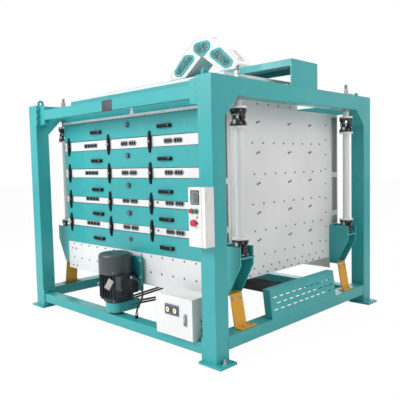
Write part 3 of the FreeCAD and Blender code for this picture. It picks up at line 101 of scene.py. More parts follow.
class Surface(Graph):
    """A Principled material whose colour, roughness and relief come from procedural nodes."""

    def __init__(self, name, metallic=0.0, coat=0.0):
        self.material = bpy.data.materials.new(name)
        super().__init__(self.material)
        self.shader = self.tree.nodes["Principled BSDF"]
        self.shader.inputs["Metallic"].default_value = metallic
        self.shader.inputs["Coat Weight"].default_value = coat
        self.place = self.add("ShaderNodeTexCoord").outputs["Object"]
        self.relief = None

    def stretched(self, scale):
        mapping = self.add("ShaderNodeMapping", in_Scale=scale)
        self.link(self.place, mapping.inputs["Vector"])
        return mapping.outputs["Vector"]

    def noise(self, scale, detail=3.0, stretch=None):
        found = self.add("ShaderNodeTexNoise", in_Scale=scale, in_Detail=detail)
        self.link(self.stretched(stretch) if stretch else self.place, found.inputs["Vector"])
        return found.outputs["Fac"]

    def spread(self, source, low, high, start=0.3, end=0.7):
        found = self.add("ShaderNodeMapRange", in_From_Min=start, in_From_Max=end, in_To_Min=low,
                         in_To_Max=high)
        self.link(source, found.inputs["Value"])
        return found.outputs["Result"]

    def colours(self, source, dark, light):
        ramp = self.add("ShaderNodeValToRGB")
        for element, position, colour in zip(ramp.color_ramp.elements, (0.3, 0.7), (dark, light)):
            element.position = position
            element.color = (*colour, 1)
        self.link(source, ramp.inputs["Fac"])
        return ramp.outputs["Color"]

    def mix(self, factor, base, colour):
        found = self.add("ShaderNodeMix", data_type="RGBA")
        self.link(factor, found.inputs["Factor"])
        self.link(base, found.inputs[6])
        found.inputs[7].default_value = (*colour, 1)
        return found.outputs[2]

    def bump(self, source, strength, distance=0.001):
        found = self.add("ShaderNodeBump", in_Strength=strength, in_Distance=distance)
        self.link(source, found.inputs["Height"])
        if self.relief:
            self.link(self.relief, found.inputs["Normal"])
        self.relief = found.outputs["Normal"]

    def soften(self, radius):
        """Rounds sharp edges a little, as paint does."""
        edge = self.add("ShaderNodeBevel", samples=4, in_Radius=radius)
        self.relief = edge.outputs["Normal"]

    def done(self, colour, roughness):
        self.link(colour, self.shader.inputs["Base Color"])
        self.link(roughness, self.shader.inputs["Roughness"])
        self.link(self.relief, self.shader.inputs["Normal"])
        return self.material


def shade(colour, factor):
    return tuple(min(1.0, c * factor) for c in colour)


def paint(name, colour, edge=0.003, gloss=0.34, dust=0.5, peel=0.12):
    """Powder coat: an orange-peel skin, faint cloudiness, and dust in blotches."""
    s = Surface(name, coat=0.15)
    s.soften(edge)
    cloud = s.noise(2.2, 4.0)
    base = s.colours(cloud, shade(colour, 0.94), shade(colour, 1.05))
    dirt = s.noise(9.0, 6.0, (1, 1, 0.5))
    grime = tuple(0.55 * c + 0.45 * g for c, g in zip(colour, (0.42, 0.39, 0.34)))
    amount = s.spread(dirt, 0.0, dust * 0.3, 0.52, 0.85)
    base = s.mix(amount, base, grime)
    s.bump(s.noise(420.0, 2.0), peel, 0.0006)
    s.bump(s.noise(14.0, 2.0), 0.05, 0.002)
    return s.done(base, s.spread(s.noise(5.0, 4.0), gloss - 0.05, gloss + 0.12))


def steel(name, colour, rough):
    """Bright or zinc-plated steel with a drawn grain."""
    s = Surface(name, metallic=1.0)
    s.soften(0.0008)
    grainy = s.noise(60.0, 4.0, (1, 1, 30))
    base = s.colours(grainy, shade(colour, 0.78), shade(colour, 1.1))
    s.bump(grainy, 0.1, 0.0004)
    return s.done(base, s.spread(grainy, rough - 0.08, rough + 0.14))


def plastic(name, colour, rough=0.42, grain=700.0, shine=0.5):
    s = Surface(name)
    s.shader.inputs["Specular IOR Level"].default_value = shine
    s.soften(0.001)
    base = s.colours(s.noise(40.0), shade(colour, 0.88), shade(colour, 1.12))
    s.bump(s.noise(grain, 2.0), 0.14, 0.0004)
    return s.done(base, s.spread(s.noise(25.0), rough - 0.06, rough + 0.1))


def casting(name, colour, rough=0.5):
    """Sand-cast iron under satin paint."""
    s = Surface(name)
    s.soften(0.0025)
    base = s.colours(s.noise(30.0, 5.0), shade(colour, 0.75), shade(colour, 1.2))
    s.bump(s.noise(160.0, 5.0), 0.35, 0.0012)
    return s.done(base, s.spread(s.noise(60.0, 4.0), rough - 0.12, rough + 0.12))


def perforated(name, colour):
    """Sieve sheet: rows of small round holes in a thin steel sheet; the holes are painted near-black as
    painted shade, standing in for the dark seen through them.
    """
    s = Surface(name, metallic=1.0)
    cells = s.add("ShaderNodeTexVoronoi", in_Randomness=0.0, in_Scale=1.0)
    s.link(s.stretched((120, 120, 0)), cells.inputs["Vector"])
    holes = s.spread(cells.outputs["Distance"], 1.0, 0.0, 0.26, 0.34)
    plain = s.colours(s.noise(30.0), shade(colour, 0.85), shade(colour, 1.1))
    # Painted shade: the holes get a near-black colour instead of being open.
    base = s.mix(holes, plain, (0.01, 0.01, 0.01))
    s.bump(holes, 0.5, -0.001)
    return s.done(base, s.spread(s.noise(50.0), 0.28, 0.42))


def clear(name, colour):
    s = Surface(name)
    s.shader.inputs["Transmission Weight"].default_value = 0.9
    s.shader.inputs["IOR"].default_value = 1.2
    base = s.colours(s.noise(8.0), shade(colour, 0.94), colour)
    s.bump(s.noise(3.0), 0.03, 0.002)
    return s.done(base, s.spread(s.noise(12.0), 0.03, 0.12))

TEAL = linear(46, 158, 160)
teal = paint("teal_coat", TEAL)
teal_sheet = paint("teal_sheet", shade(TEAL, 0.97), edge=0.0012, gloss=0.38)
white = paint("white_coat", linear(220, 219, 218), edge=0.0015, gloss=0.36, dust=0.35)
white_box = paint("white_enclosure", linear(224, 222, 220), edge=0.004, gloss=0.32, dust=0.2, peel=0.2)
yellow = paint("yellow_coat", linear(222, 158, 22), edge=0.002)
motor_grey = casting("motor_paint", linear(31, 38, 40), 0.46)
cowl_grey = paint("cowl_paint", linear(46, 57, 61), edge=0.002, gloss=0.34, dust=0.3)
black_iron = casting("black_iron", linear(22, 22, 25), 0.46)
dark_frame = paint("black_coat", linear(30, 32, 34), gloss=0.42)
cast_grey = casting("cast_grey", linear(92, 94, 96), 0.55)
zinc = steel("zinc_plate", linear(170, 170, 176), 0.34)
ground = steel("ground_steel", linear(178, 178, 182), 0.24)
# Black plastic; the same material fills the vent slits and the guard slots as painted shade.
black_plastic = plastic("black_plastic", linear(12, 13, 16), 0.5, shine=0.2)
grey_plastic = plastic("grey_plastic", linear(118, 124, 132), 0.38)
lever_black = plastic("breaker_black", linear(40, 42, 46), 0.32)
red_plastic = plastic("red_plastic", linear(190, 44, 66), 0.26, 900.0)
green_plastic = plastic("green_plastic", linear(6, 122, 88), 0.26, 900.0)
rubber = plastic("black_rubber", linear(24, 24, 26), 0.62, 300.0)
teal_rubber = plastic("teal_rubber", linear(52, 160, 160), 0.5, 300.0)
screen_steel = perforated("sieve_sheet", linear(170, 172, 174))
pane = clear("clear_sheet", (0.86, 0.89, 0.92))
dial_white = plastic("dial_white", linear(232, 226, 186), 0.4)
panel_grey = plastic("meter_panel", linear(112, 112, 134), 0.42)
gear_white = plastic("gear_white", linear(212, 214, 216), 0.42)
bare_plate = steel("bare_plate", linear(178, 170, 168), 0.42)
dull_plate = plastic("dull_plate", linear(72, 70, 80), 0.5, shine=0.3)
thread_steel = steel("thread_steel", linear(112, 112, 116), 0.42)
slate = plastic("slate_plastic", linear(86, 88, 102), 0.5, shine=0.3)
panel_dark = plastic("panel_dark", linear(66, 76, 86), 0.34)

NODE_MATERIALS = {
    teal: ["side_frame_left", "side_frame_right", "front_top_beam", "rear_top_beam",
           "front_bottom_beam", "rear_bottom_beam", "hanger_brackets", "frame_bolts"],
    teal_sheet: ["feed_gantry", "sieve_drawers", "front_trim", "step_plate", "belt_guard",
                 "motor_plate"],
    white: ["sieve_box", "feed_chest", "feed_distributor", "apron_panel", "discharge_hopper",
            "hanger_adapters", *(f"hanger_rod_{name}" for name in HANGERS)],
    white_box: ["control_box", "cabinet_shell", "cabinet_door"],
    yellow: ["transport_brackets"],
    motor_grey: ["motor_frame", "terminal_box"],
    cowl_grey: ["fan_cowl"],
    black_iron: ["upper_yokes", "lower_yokes"],
    dark_frame: ["drive_frame"],
    cast_grey: ["flywheel", "bearing_housings"],
    zinc: ["hanger_studs", "gear_plate", "door_lock"],
    ground: ["motor_rotor", "lower_crosses", "lower_cross_front_right",
             *(f"upper_cross_{name}" for name in HANGERS)],
    black_plastic: ["drawer_handles", "press_bars", "cable_glands", "motor_cable"],
    slate: ["sight_plates"],
    lever_black: ["breaker_lever"],
    red_plastic: ["stop_button", "emergency_stop"],
    green_plastic: ["start_button"],
    rubber: ["drive_belts"],
    teal_rubber: ["window_gaskets"],
    screen_steel: ["sieve_screens"],
    pane: ["window_panes"],
    panel_grey: ["panel_meters"],
}
for material, names in NODE_MATERIALS.items():
    for name in names:
        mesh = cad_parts[name].data
        mesh.materials.clear()
        mesh.materials.append(material)


# Small shapes, each added to a bmesh. The profiles of bolts and screws are in thread radii.

BEAD_STEP, BEAD_WAVE, BEAD_END = 0.006, 1.9, 0.35
WASHER = ((0, 0), (2.1, 0), (2.1, 0.3), (1.9, 0.4), (0, 0.4))
HEXAGON = ((0, 0.4), (1.8, 0.4), (1.8, 1.5), (1.5, 1.75), (0, 1.75))
SCREW = ((0, 0), (1, 0), (1, 0.2), (0.85, 0.5), (0.5, 0.62), (0.42, 0.6), (0.4, 0.25), (0, 0.25))


def keep(shape, name, body, *materials, smooth=30):
    """Turns a bmesh into a piece that rides on a body; faces carry their own material index."""
    mesh = bpy.data.meshes.new(name)
    shape.normal_update()
    shape.to_mesh(mesh)
    shape.free()
    for material in materials:
        mesh.materials.append(material)
    piece = placed(name, mesh)
    for face in mesh.polygons:
        face.use_smooth = True
    mesh.set_sharp_from_angle(angle=math.radians(smooth))
    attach(piece, body)
    return piece


def turned(at, axis, spin=0.0):
    """The placing of a shape whose own +Z points along an axis."""
    turn = Vector(UP).rotation_difference(Vector(axis)).to_matrix().to_4x4()
    return Matrix.Translation(Vector(at)) @ turn @ Matrix.Rotation(spin, 4, "Z")


def about(at, turn):
    """The placing of a shape turned about the upright line through a point."""
    return Matrix.Translation(at) @ Matrix.Rotation(turn, 4, "Z")


def spokes(count, start=0.0):
    """Level directions, spread evenly round the upright."""
    turns = [math.tau * (k + start) / count for k in range(count)]
    return [Vector((math.cos(turn), math.sin(turn), 0)) for turn in turns]


def lathe(shape, profile, place, sides=24, index=0):
    """Turns a profile of (radius, height) about its own Z; a radius of 0 closes the end."""
    rings = []
    for radius, height in profile:
        rings.append([shape.verts.new(place @ (radius * out + Vector((0, 0, height))))
                      for out in (spokes(sides) if radius else [Vector(UP)])])
    for low, high in zip(rings, rings[1:]):
        count = max(len(low), len(high))
        for k in range(count):
            n = (k + 1) % count
            corners = list(dict.fromkeys([low[k % len(low)], low[n % len(low)],
                                          high[n % len(high)], high[k % len(high)]]))
            if len(corners) > 2:
                shape.faces.new(corners).material_index = index


def scaled(profile, size):
    return [(radius * size, height * size) for radius, height in profile]


def bolt(shape, at, axis, size, index=0):
    """A washer and a chamfered hexagon head; size is the thread's radius."""
    place = turned(at, axis, 0.3)
    lathe(shape, scaled(WASHER, size), place, 20, index)
    lathe(shape, scaled(HEXAGON, size), place, 6, index)


def screw(shape, at, axis, size, index=0):
    """A low domed head with a hexagon socket."""
    lathe(shape, scaled(SCREW, size), turned(at, axis), 12, index)


def slab(shape, low, high, edge=0.002, index=0, steps=2, place=Matrix()):
    """A box with rounded edges."""
    low, high = Vector(low), Vector(high)
    middle, span = (low + high) / 2, high - low
    made = bmesh.ops.create_cube(shape, size=1.0)["verts"]
    bmesh.ops.transform(shape, matrix=Matrix.Translation(middle) @ Matrix.Diagonal((*span, 1)),
                        verts=made)
    for face in {f for v in made for f in v.link_faces}:
        face.material_index = index
    if edge:
        done = bmesh.ops.bevel(shape, geom=list({e for v in made for e in v.link_edges}), offset=edge,
                               segments=steps, profile=0.5, affect="EDGES", material=index)
        made = {v for f in done["faces"] for v in f.verts} | {v for v in made if v.is_valid}
    whole = {w for v in made for face in v.link_faces for w in face.verts}
    bmesh.ops.transform(shape, matrix=place, verts=list(whole))


def prism(shape, outline, depth, place, edge=0.0, index=0, steps=2):
    """A flat outline given depth along its own +Z, with its two rims rounded."""
    low = [shape.verts.new(Vector((x, y, 0))) for x, y in outline]
    face = shape.faces.new(low)
    made = bmesh.ops.extrude_face_region(shape, geom=[face])["geom"]
    top = [v for v in made if isinstance(v, bmesh.types.BMVert)]
    bmesh.ops.translate(shape, vec=(0, 0, depth), verts=top)
    faces = {f for v in low + top for f in v.link_faces}
    if edge:
        rim = {e for ring in (top, low) for v in ring for e in v.link_edges
               if all(w in ring for w in e.verts)}
        done = bmesh.ops.bevel(shape, geom=list(rim), offset=edge, segments=steps, profile=0.5,
                               affect="EDGES")
        corners = {v for f in faces | set(done["faces"]) if f.is_valid for v in f.verts}
        faces = {f for v in corners for f in v.link_faces}
    whole = {v for f in faces for v in f.verts}
    bmesh.ops.recalc_face_normals(shape, faces=list(faces))
    for f in faces:
        f.material_index = index
    bmesh.ops.transform(shape, matrix=place, verts=list(whole))


def loft(shape, rings):
    """A closed bar through rings of the same number of corners."""
    rings = [[shape.verts.new(corner) for corner in ring] for ring in rings]
    faces = [shape.faces.new(rings[0]), shape.faces.new(rings[-1][::-1])]
    for low, high in zip(rings, rings[1:]):
        for j in range(len(low)):
            n = (j + 1) % len(low)
            faces.append(shape.faces.new((low[j], high[j], high[n], low[n])))
    return faces


def tube(shape, points, radius, sides=8, ripple=0.0, index=0):
    """A round bar through points; ripple makes a weld bead of it."""
    spots = [Vector(p) for p in points]
    line = []
    for start, end in zip(spots, spots[1:]):
        count = max(1, round((end - start).length / BEAD_STEP)) if ripple else 1
        line += [start.lerp(end, k / count) for k in range(count)]
    line.append(spots[-1])
    last = len(line) - 1
    rings = []
    for k, spot in enumerate(line):
        along = (line[min(k + 1, last)] - line[max(k - 1, 0)]).normalized()
        turn = Vector(UP).rotation_difference(along).to_matrix()
        wide = radius * (1 + ripple * math.sin(k * BEAD_WAVE))
        if ripple and k in (0, last):
            wide *= BEAD_END
        rings.append([shape.verts.new(spot + turn @ (wide * out)) for out in spokes(sides)])
    for low, high in zip(rings, rings[1:]):
        for j in range(sides):
            n = (j + 1) % sides
            shape.faces.new((low[j], low[n], high[n], high[j])).material_index = index
    for cap in (rings[0][::-1], rings[-1]):
        shape.faces.new(cap).material_index = index


def weld(shape, points, radius=0.003):
    """A weld bead along points."""
    tube(shape, points, radius, 6, 0.2)


def rounded(width, height, corner, steps=5):
    """The outline of a rectangle with round corners, about its middle."""
    found = []
    for k, (x, y) in enumerate(((1, 1), (-1, 1), (-1, -1), (1, -1))):
        for step in range(steps + 1):
            turn = math.pi / 2 * (k + step / steps)
            found.append((x * (width / 2 - corner) + corner * math.cos(turn),
                          y * (height / 2 - corner) + corner * math.sin(turn)))
    return found


# The frame: weld beads, the foot plates' ground stud and the bare plate on the front beam

POST_IN, POST_OUT, POST_NEAR, POST_FAR = 1.025, 1.145, 0.921, 1.041
FLANGE_X, LUG_X, LUG_Y = 1.013, 1.039, 0.981
beads = bmesh.new()
for side, end in CORNERS:
    inner, outer = side * POST_IN, side * POST_OUT
    near, far = end * POST_NEAR, end * POST_FAR
    for z in (0.088, 0.173):
        weld(beads, [(inner, near, z), (outer, near, z)], 0.0035)
    for x in (inner, outer):
        weld(beads, [(x, near, 0.09), (x, near, 0.171)])
        weld(beads, [(x, near, 1.597), (x, end * 0.788, 1.73)])
    ring = [(inner, near), (outer, near), (outer, far), (inner, far), (inner, near)]
    weld(beads, [(x, y, 0.016) for x, y in ring], 0.004)
    for x in (side * LUG_X - 0.0075, side * LUG_X + 0.0075):
        weld(beads, [(x, end * LUG_Y - 0.03, 1.851), (x, end * LUG_Y + 0.03, 1.851)])
    x = side * FLANGE_X
    for y, low, high in ((0.951, 1.675, 1.845), (1.011, 1.675, 1.845), (0.931, 0.056, 0.13),
                         (1.031, 0.056, 0.13)):
        weld(beads, [(x, end * y, low), (x, end * y, high)])
    weld(beads, [(x, end * 0.931, 0.1315), (x, end * 1.031, 0.1315)])
keep(beads, "frame_welds", "frame", teal)

PLATE_X, PLATE_FACE, PLATE_Z = 0.022, -1.0112, 1.756
plate = bmesh.new()
prism(plate, rounded(0.131, 0.084, 0.004), 0.0012,
      turned((PLATE_X, PLATE_FACE, PLATE_Z), FORWARD), 0.0004)
for a, b in CORNERS:
    screw(plate, (PLATE_X + a * 0.059, PLATE_FACE - 0.0012, PLATE_Z + b * 0.035), FORWARD, 0.003)
keep(plate, "beam_plate", "frame", dull_plate)

STUD = (1.166, -0.99, 0.0165)
stud = bmesh.new()
bolt(stud, STUD, UP, 0.007)
lathe(stud, [(0.006, 0.011)] + [(0.006 + 0.0012 * (k % 2), 0.012 + 0.0016 * k) for k in range(14)]
      + [(0.0, 0.036)], turned(STUD, UP), 16)
keep(stud, "ground_stud", "frame", zinc)

# Threads of the hanger studs and the nuts' washers

HANGER_X, HANGER_Y, UPPER_Z, LOWER_Z = 1.085, 0.717, 1.597, 0.722
threads = bmesh.new()
for side, end in CORNERS:
    x, y = side * HANGER_X, end * HANGER_Y
    rings = [(0.0118 + 0.0011 * (k % 2), 0.0025 * k) for k in range(14)]
    lathe(threads, [(0, 0), *rings, (0.009, 0.036), (0, 0.036)], turned((x, y, 1.903), UP), 20)
    lathe(threads, [(0, 0), (0.027, 0), (0.027, 0.003), (0, 0.003)], turned((x, y, 1.861), UP), 28)
    lathe(threads, [(0.0255, 0), (0.0255, 0.004), (0.0215, 0.005)], turned((x, y, 1.7155), UP), 24)
keep(threads, "stud_threads", "frame", thread_steel)


# The joints: bearing caps on the yokes' cheeks, bolts round the flanges

CHEEK, FLANGE = 0.042, 0.046


def joint_dress(shape, at, axis, way):
    """Caps over the pins of one fork and the bolts of its flange."""
    for hand in (1, -1):
        outward = Vector(axis) * hand
        place = turned(Vector(at) + outward * CHEEK, outward)
        lathe(shape, [(0.0165, 0), (0.0165, 0.003), (0.015, 0.0045), (0.009, 0.0045),
                      (0.008, 0.0025), (0, 0.0025)], place, 24)
        for out in spokes(4, 0.5):
            screw(shape, place @ (out * 0.0185 - Vector((0, 0, 0.0002))), outward, 0.0028, 1)
    flange = Vector(at) + Vector((0, 0, way * FLANGE))
    for out in spokes(6, 0.5):
        spot = flange + out * 0.047
        if abs(spot.x - at[0]) < 0.045 or axis == BACKWARD:
            bolt(shape, spot, (0, 0, -way), 0.0038, 1)


def ribs(shape, at, axis, way):
    """Webs that widen a fork's cheeks into its flange."""
    side_way = Vector(BACKWARD if axis == RIGHT else RIGHT)
    for hand in (1, -1):
        foot = Vector(at) + Vector(axis) * hand * 0.034 + Vector((0, 0, way * FLANGE))
        for aside in (1, -1):
            corner = foot + side_way * aside * 0.022
            points = [corner, corner + side_way * aside * 0.022, corner - Vector((0, 0, way * 0.030))]
            wide = Vector(axis) * 0.006
            faces = loft(shape, [[p - wide for p in points], [p + wide for p in points]])
            bmesh.ops.recalc_face_normals(shape, faces=faces)


for name, (side, end) in zip(HANGERS, CORNERS):
    x, y = side * HANGER_X, end * HANGER_Y
    upper, lower, rod = bmesh.new(), bmesh.new(), bmesh.new()
    for shape, z, axis, way in ((upper, UPPER_Z, RIGHT, 1), (lower, LOWER_Z, RIGHT, -1),
                                (rod, UPPER_Z, BACKWARD, -1), (rod, LOWER_Z, BACKWARD, 1)):
        joint_dress(shape, (x, y, z), axis, way)
        ribs(shape, (x, y, z), axis, way)
    keep(upper, f"upper_joint_caps_{name}", "frame", black_iron, zinc)
    keep(lower, f"lower_joint_caps_{name}", "sieve", black_iron, zinc)
    keep(rod, f"rod_joint_caps_{name}", f"hanger_rod_{name}", black_iron, zinc)
    forks = bmesh.new()
    for z, way in ((UPPER_Z, -1), (LOWER_Z, 1)):
        base = z + way * FLANGE
        for hand in (1, -1):
            low, high = sorted((y + hand * 0.0255, y + hand * 0.0425))
            bottom, top = sorted((z + way * 0.008, base))
            for left in (x - 0.0225, x + 0.0105):
                slab(forks, (left, low, bottom), (left + 0.012, high, top), 0.002)
        lathe(forks, [(0, 0), (0.0555, 0), (0.0555, 0.0125), (0, 0.0125)],
              turned((x, y, min(base, base + way * 0.0125)), UP), 40)
        lathe(forks, [(0, 0), (0.058, 0), (0.058, 0.012), (0.033, 0.012), (0.030, 0.018)],
              turned((x, y, base + way * 0.0125), (0, 0, way)), 40, 1)
    tube(forks, [(x + side * 0.0282, y, 0.8), (x + side * 0.0282, y, 1.52)], 0.0012, 6, index=1)
    keep(forks, f"rod_forks_{name}", f"hanger_rod_{name}", black_iron, white)

# The sieve box: bolts and seams of the side walls, the corner windows and the front rail

WALL = 0.96
side_bolts = bmesh.new()
for side in (1, -1):
    spots = [(y + step, z + step * 0.3, 0.0038) for z in (1.590, 1.368, 1.140, 0.923, 0.720)
             for y in (-0.350, 0.047, 0.340) for step in (-0.012, 0.012)]
    spots += [(-0.42 + 0.13 * k + 0.02 * (row % 2), z, 0.0032)
              for row, z in enumerate((1.438, 1.210, 0.989, 0.790, 0.608)) for k in range(8)]
    spots += [(start + 0.105 * k, z, 0.0032)
              for start, z in ((-0.52, 0.515), (-0.57, 0.468)) for k in range(11)]
    spots += [(0.585, 0.60 + 0.125 * k, 0.0032) for k in range(9)]
    spots += [(y, z, 0.0032) for y in (-0.60, -0.355, -0.222, -0.096, 0.06)
              for z in (1.722, 1.890)]
    for y, z, size in spots:
        bolt(side_bolts, (side * WALL, y, z), (side, 0, 0), size)
keep(side_bolts, "side_panel_bolts", "sieve", thread_steel)

seams = bmesh.new()
for side in (1, -1):
    inner, outer = sorted((side * (WALL - 0.0005), side * (WALL + 0.0025)))
    for y in (0.648, -0.648):
        slab(seams, (inner, y - 0.017, 0.745), (outer, y + 0.017, 1.668), 0.001)
    slab(seams, (inner, -0.63, 0.4505), (outer, 0.63, 0.4585), 0.001)
    slab(seams, (inner, -0.712, 1.6995), (outer, 0.165, 1.7065), 0.001)
keep(seams, "side_seams", "sieve", white)

WINDOW_FACE = 0.9535
windows = bmesh.new()
for side, end in CORNERS:
    y = end * 0.738
    inner, outer = sorted((side * (WINDOW_FACE - 0.0013), side * WINDOW_FACE))
    for low, high in ((0.742, 0.811), (0.856, 1.150), (1.195, 1.675)):
        slab(windows, (inner, y - 0.045, low + 0.001), (outer, y + 0.045, high - 0.001), 0.0004)
        count = max(1, round((high - low) / 0.12))
        for k in range(count):
            z = low + (high - low) * (k + 0.5) / count
            bolt(windows, (side * WINDOW_FACE, y + 0.012 * (-1) ** k, z), (side, 0, 0), 0.0035, 1)
keep(windows, "corner_windows", "sieve", bare_plate, zinc)

RAIL_FACE, CATCH_X, CATCH_FACE = -0.7925, 0.053, -0.7965
rail = bmesh.new()
slab(rail, (-0.955, RAIL_FACE, 1.6765), (0.955, -0.7895, 1.7005), 0.0008)
for k in range(9):
    screw(rail, (-0.86 + 0.215 * k, RAIL_FACE, 1.688), FORWARD, 0.004, 1)
slab(rail, (CATCH_X - 0.02, CATCH_FACE, 1.683), (CATCH_X + 0.02, RAIL_FACE, 1.722), 0.0015)
slab(rail, (CATCH_X - 0.011, -0.7985, 1.712), (CATCH_X + 0.011, -0.7905, 1.7445), 0.002)
screw(rail, (CATCH_X, -0.7985, 1.735), FORWARD, 0.0045, 1)
for aside in (-0.012, 0.012):
    screw(rail, (CATCH_X + aside, CATCH_FACE, 1.69), FORWARD, 0.003, 1)
keep(rail, "front_rail", "sieve", white, zinc)

# The drawers' fronts: returned edges, screws and the seam of each front

DECKS = ((1.517, 0.158), (1.274, 0.155), (1.027, 0.164), (0.818, 0.148), (0.603, 0.152))
FACE = -0.7983
fronts = bmesh.new()
for z, height in DECKS:
    for x in (-0.852, -0.68, -0.205, 0.184, 0.65, 0.862):
        screw(fronts, (x, FACE, z + 0.052), FORWARD, 0.0045, 1)
    screw(fronts, (-0.015, FACE, z + 0.07), FORWARD, 0.0045, 1)
    for low in (z + 0.0005, z + height - 0.0045):
        slab(fronts, (-0.956, FACE - 0.0012, low), (0.956, FACE + 0.006, low + 0.004), 0.0008)
keep(fronts, "drawer_edges", "sieve", teal_sheet, zinc)

gaskets = bmesh.new()
for z, height in DECKS:
    for level_z in (z - 0.0022, z + height + 0.0022):
        tube(gaskets, [(-0.955, -0.7912, level_z), (0.955, -0.7912, level_z)], 0.0018, 6)
keep(gaskets, "drawer_gaskets", "sieve", rubber)

# Vent patches on the white bands between the drawers: pairs of slotted plates; the slits are black
# pads, painted shade in place of open slits

BAND_FACE = -0.7902
vents = bmesh.new()
for z in (1.472, 1.236, 1.009, 0.792):
    for x, width, oval in ((-0.543, 0.205, False), (-0.009, 0.212, True), (0.521, 0.214, True)):
        place = turned((x, BAND_FACE, z), FORWARD)
        if oval:
            for hand in (-1, 1):
                centre = place @ Matrix.Translation((hand * width / 4, 0, 0))
                prism(vents, rounded(width / 2 - 0.002, 0.044, 0.0205), 0.002, centre, 0.0006, 2)
                prism(vents, rounded(width / 2 - 0.008, 0.038, 0.0178), 0.0026, centre, 0.0004, 3)
                # Painted shade: each slit is a black pad standing in for the dark inside an open slit.
                for step in (-1, 0, 1):
                    slit = centre @ Matrix.Translation((step * 0.027, 0, 0))
                    prism(vents, rounded(0.0225, 0.026, 0.0075), 0.0034, slit, 0.0006, 1)
        else:
            prism(vents, rounded(width, 0.038, 0.005), 0.0018, place, 0.0006, 3)
            # Painted shade: each slit is a black pad standing in for the dark inside an open slit.
            for step in range(4):
                slit = place @ Matrix.Translation(((step - 1.5) * 0.048, 0, 0))
                prism(vents, rounded(0.041, 0.025, 0.004), 0.0028, slit, 0.0006, 1)
for z in (1.009, 0.792):
    lathe(vents, [(0, 0), (0.009, 0), (0.009, 0.006), (0.0075, 0.0085), (0, 0.009)],
          turned((0.33, BAND_FACE, z), FORWARD), 24, 3)
keep(vents, "band_vents", "sieve", white, black_plastic, bare_plate, grey_plastic)

# Handles, sight caps and the press bars

GRIP_SECTION = ((-0.013, 0.4), (-0.0105, 0.9), (0, 1.0), (0.0105, 0.9), (0.013, 0.4), (0.0105, 0),
                (-0.0105, 0))
grips = bmesh.new()
for z, height in DECKS:
    for side in (-1, 1):
        x, level_z = side * 0.44, z + 0.066
        for hand in (-1, 1):
            foot = x + hand * 0.064
            prism(grips, rounded(0.024, 0.028, 0.006), 0.017,
                  turned((foot, FACE, level_z), FORWARD), 0.002)
            screw(grips, (foot, FACE - 0.0305, level_z), FORWARD, 0.0045, 1)
        rings = []
        for k in range(13):
            t = k / 12
            reach = 0.0135 * math.sin(math.pi * min(1, max(0, t * 1.16 - 0.08))) ** 0.4
            rings.append([(x - 0.075 + 0.15 * t, FACE - 0.0162 - reach * share, level_z + rise)
                          for rise, share in GRIP_SECTION])
        loft(grips, rings)
grips_piece = keep(grips, "pull_handles", "sieve", black_plastic, zinc, smooth=50)
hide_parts("drawer_handles")

sights = bmesh.new()
for z, height in DECKS[:4]:
    place = turned((-0.005, FACE, z + height - 0.055), FORWARD)
    lathe(sights, [(0, 0), (0.0205, 0), (0.0205, 0.006), (0.0195, 0.008), (0.0205, 0.0105),
                   (0.0205, 0.016), (0.018, 0.0192), (0.012, 0.0198), (0.010, 0.0185),
                   (0, 0.0185)], place, 40)
    lathe(sights, [(0.005, 0.0185), (0.005, 0.0195), (0.0035, 0.0199), (0, 0.0199)], place, 16, 1)
    for k in range(10):
        grip = place @ Matrix.Rotation(math.tau * k / 10, 4, "Z")
        slab(sights, (0.0196, -0.0022, 0.0075), (0.0209, 0.0022, 0.0165), 0.0005, 0, 1, grip)
place = turned((-0.005, FACE, DECKS[4][0] + DECKS[4][1] - 0.055), FORWARD)
prism(sights, rounded(0.036, 0.036, 0.004), 0.006, place, 0.0012)
prism(sights, rounded(0.024, 0.024, 0.003), 0.0078, place, 0.0008)
for a, b in CORNERS:
    screw(sights, place @ Vector((a * 0.0145, b * 0.0145, 0.006)), FORWARD, 0.0016, 1)
sights_piece = keep(sights, "sight_caps", "sieve", slate, zinc)
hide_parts("sight_plates")

BAR_SECTION = ((-1, 0.0), (-1, 0.55), (-0.6, 1.0), (0.6, 1.0), (1, 0.55), (1, 0.0))
bars = bmesh.new()
for below, above in zip(DECKS[1:], DECKS):
    z = (below[0] + below[1] + above[0]) / 2
    for x in (-0.878, -0.266, 0.266, 0.878):
        rings = []
        for k in range(17):
            t = k / 8 - 1
            half = 0.0168 * (1 - 0.5 * abs(t) ** 4)
            out = 0.0155 - 0.007 * t * t
            rings.append([(x + half * a, FACE - 0.0004 - out * b, z + 0.084 * t)
                          for a, b in BAR_SECTION])
        loft(bars, rings)
        place = turned((x, FACE - 0.0155, z), FORWARD)
        lathe(bars, [(0, 0), (0.0115, 0), (0.0115, 0.0015), (0.0075, 0.002), (0.0075, 0.009),
                     (0.0055, 0.0115), (0, 0.0115)], place, 20, 1)
        for hand in (-1, 1):
            wing = place @ Matrix.Translation((hand * 0.0095, 0, 0.0065))
            slab(bars, (-0.006, -0.0016, -0.004), (0.006, 0.0016, 0.005), 0.0014, 1, 2, wing)
        lathe(bars, [(0.008, 0.0), (0.008, 0.0082)], turned((x, -0.7901, z), FORWARD), 16, 1)
bmesh.ops.recalc_face_normals(bars, faces=bars.faces)
bars_piece = keep(bars, "press_bar_levers", "sieve", black_plastic, zinc, smooth=50)
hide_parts("press_bars")

# The apron's bolts

APRON_FACE = -0.796
apron = bmesh.new()
spots = [(-0.86 + 0.1229 * k, 0.584) for k in range(15)]
spots += [(x, 0.457)
          for x in (-0.863, -0.739, -0.616, -0.495, 0.234, 0.361, 0.490, 0.610, 0.735, 0.858)]
spots += [(x, z) for x in (-0.887, -0.827, 0.827, 0.887) for z in (0.540, 0.378)]
for x, z in spots:
    bolt(apron, (x, APRON_FACE, z), FORWARD, 0.0034)
keep(apron, "apron_bolts", "sieve", thread_steel)

# The rear of the box: inspection covers with hand screws

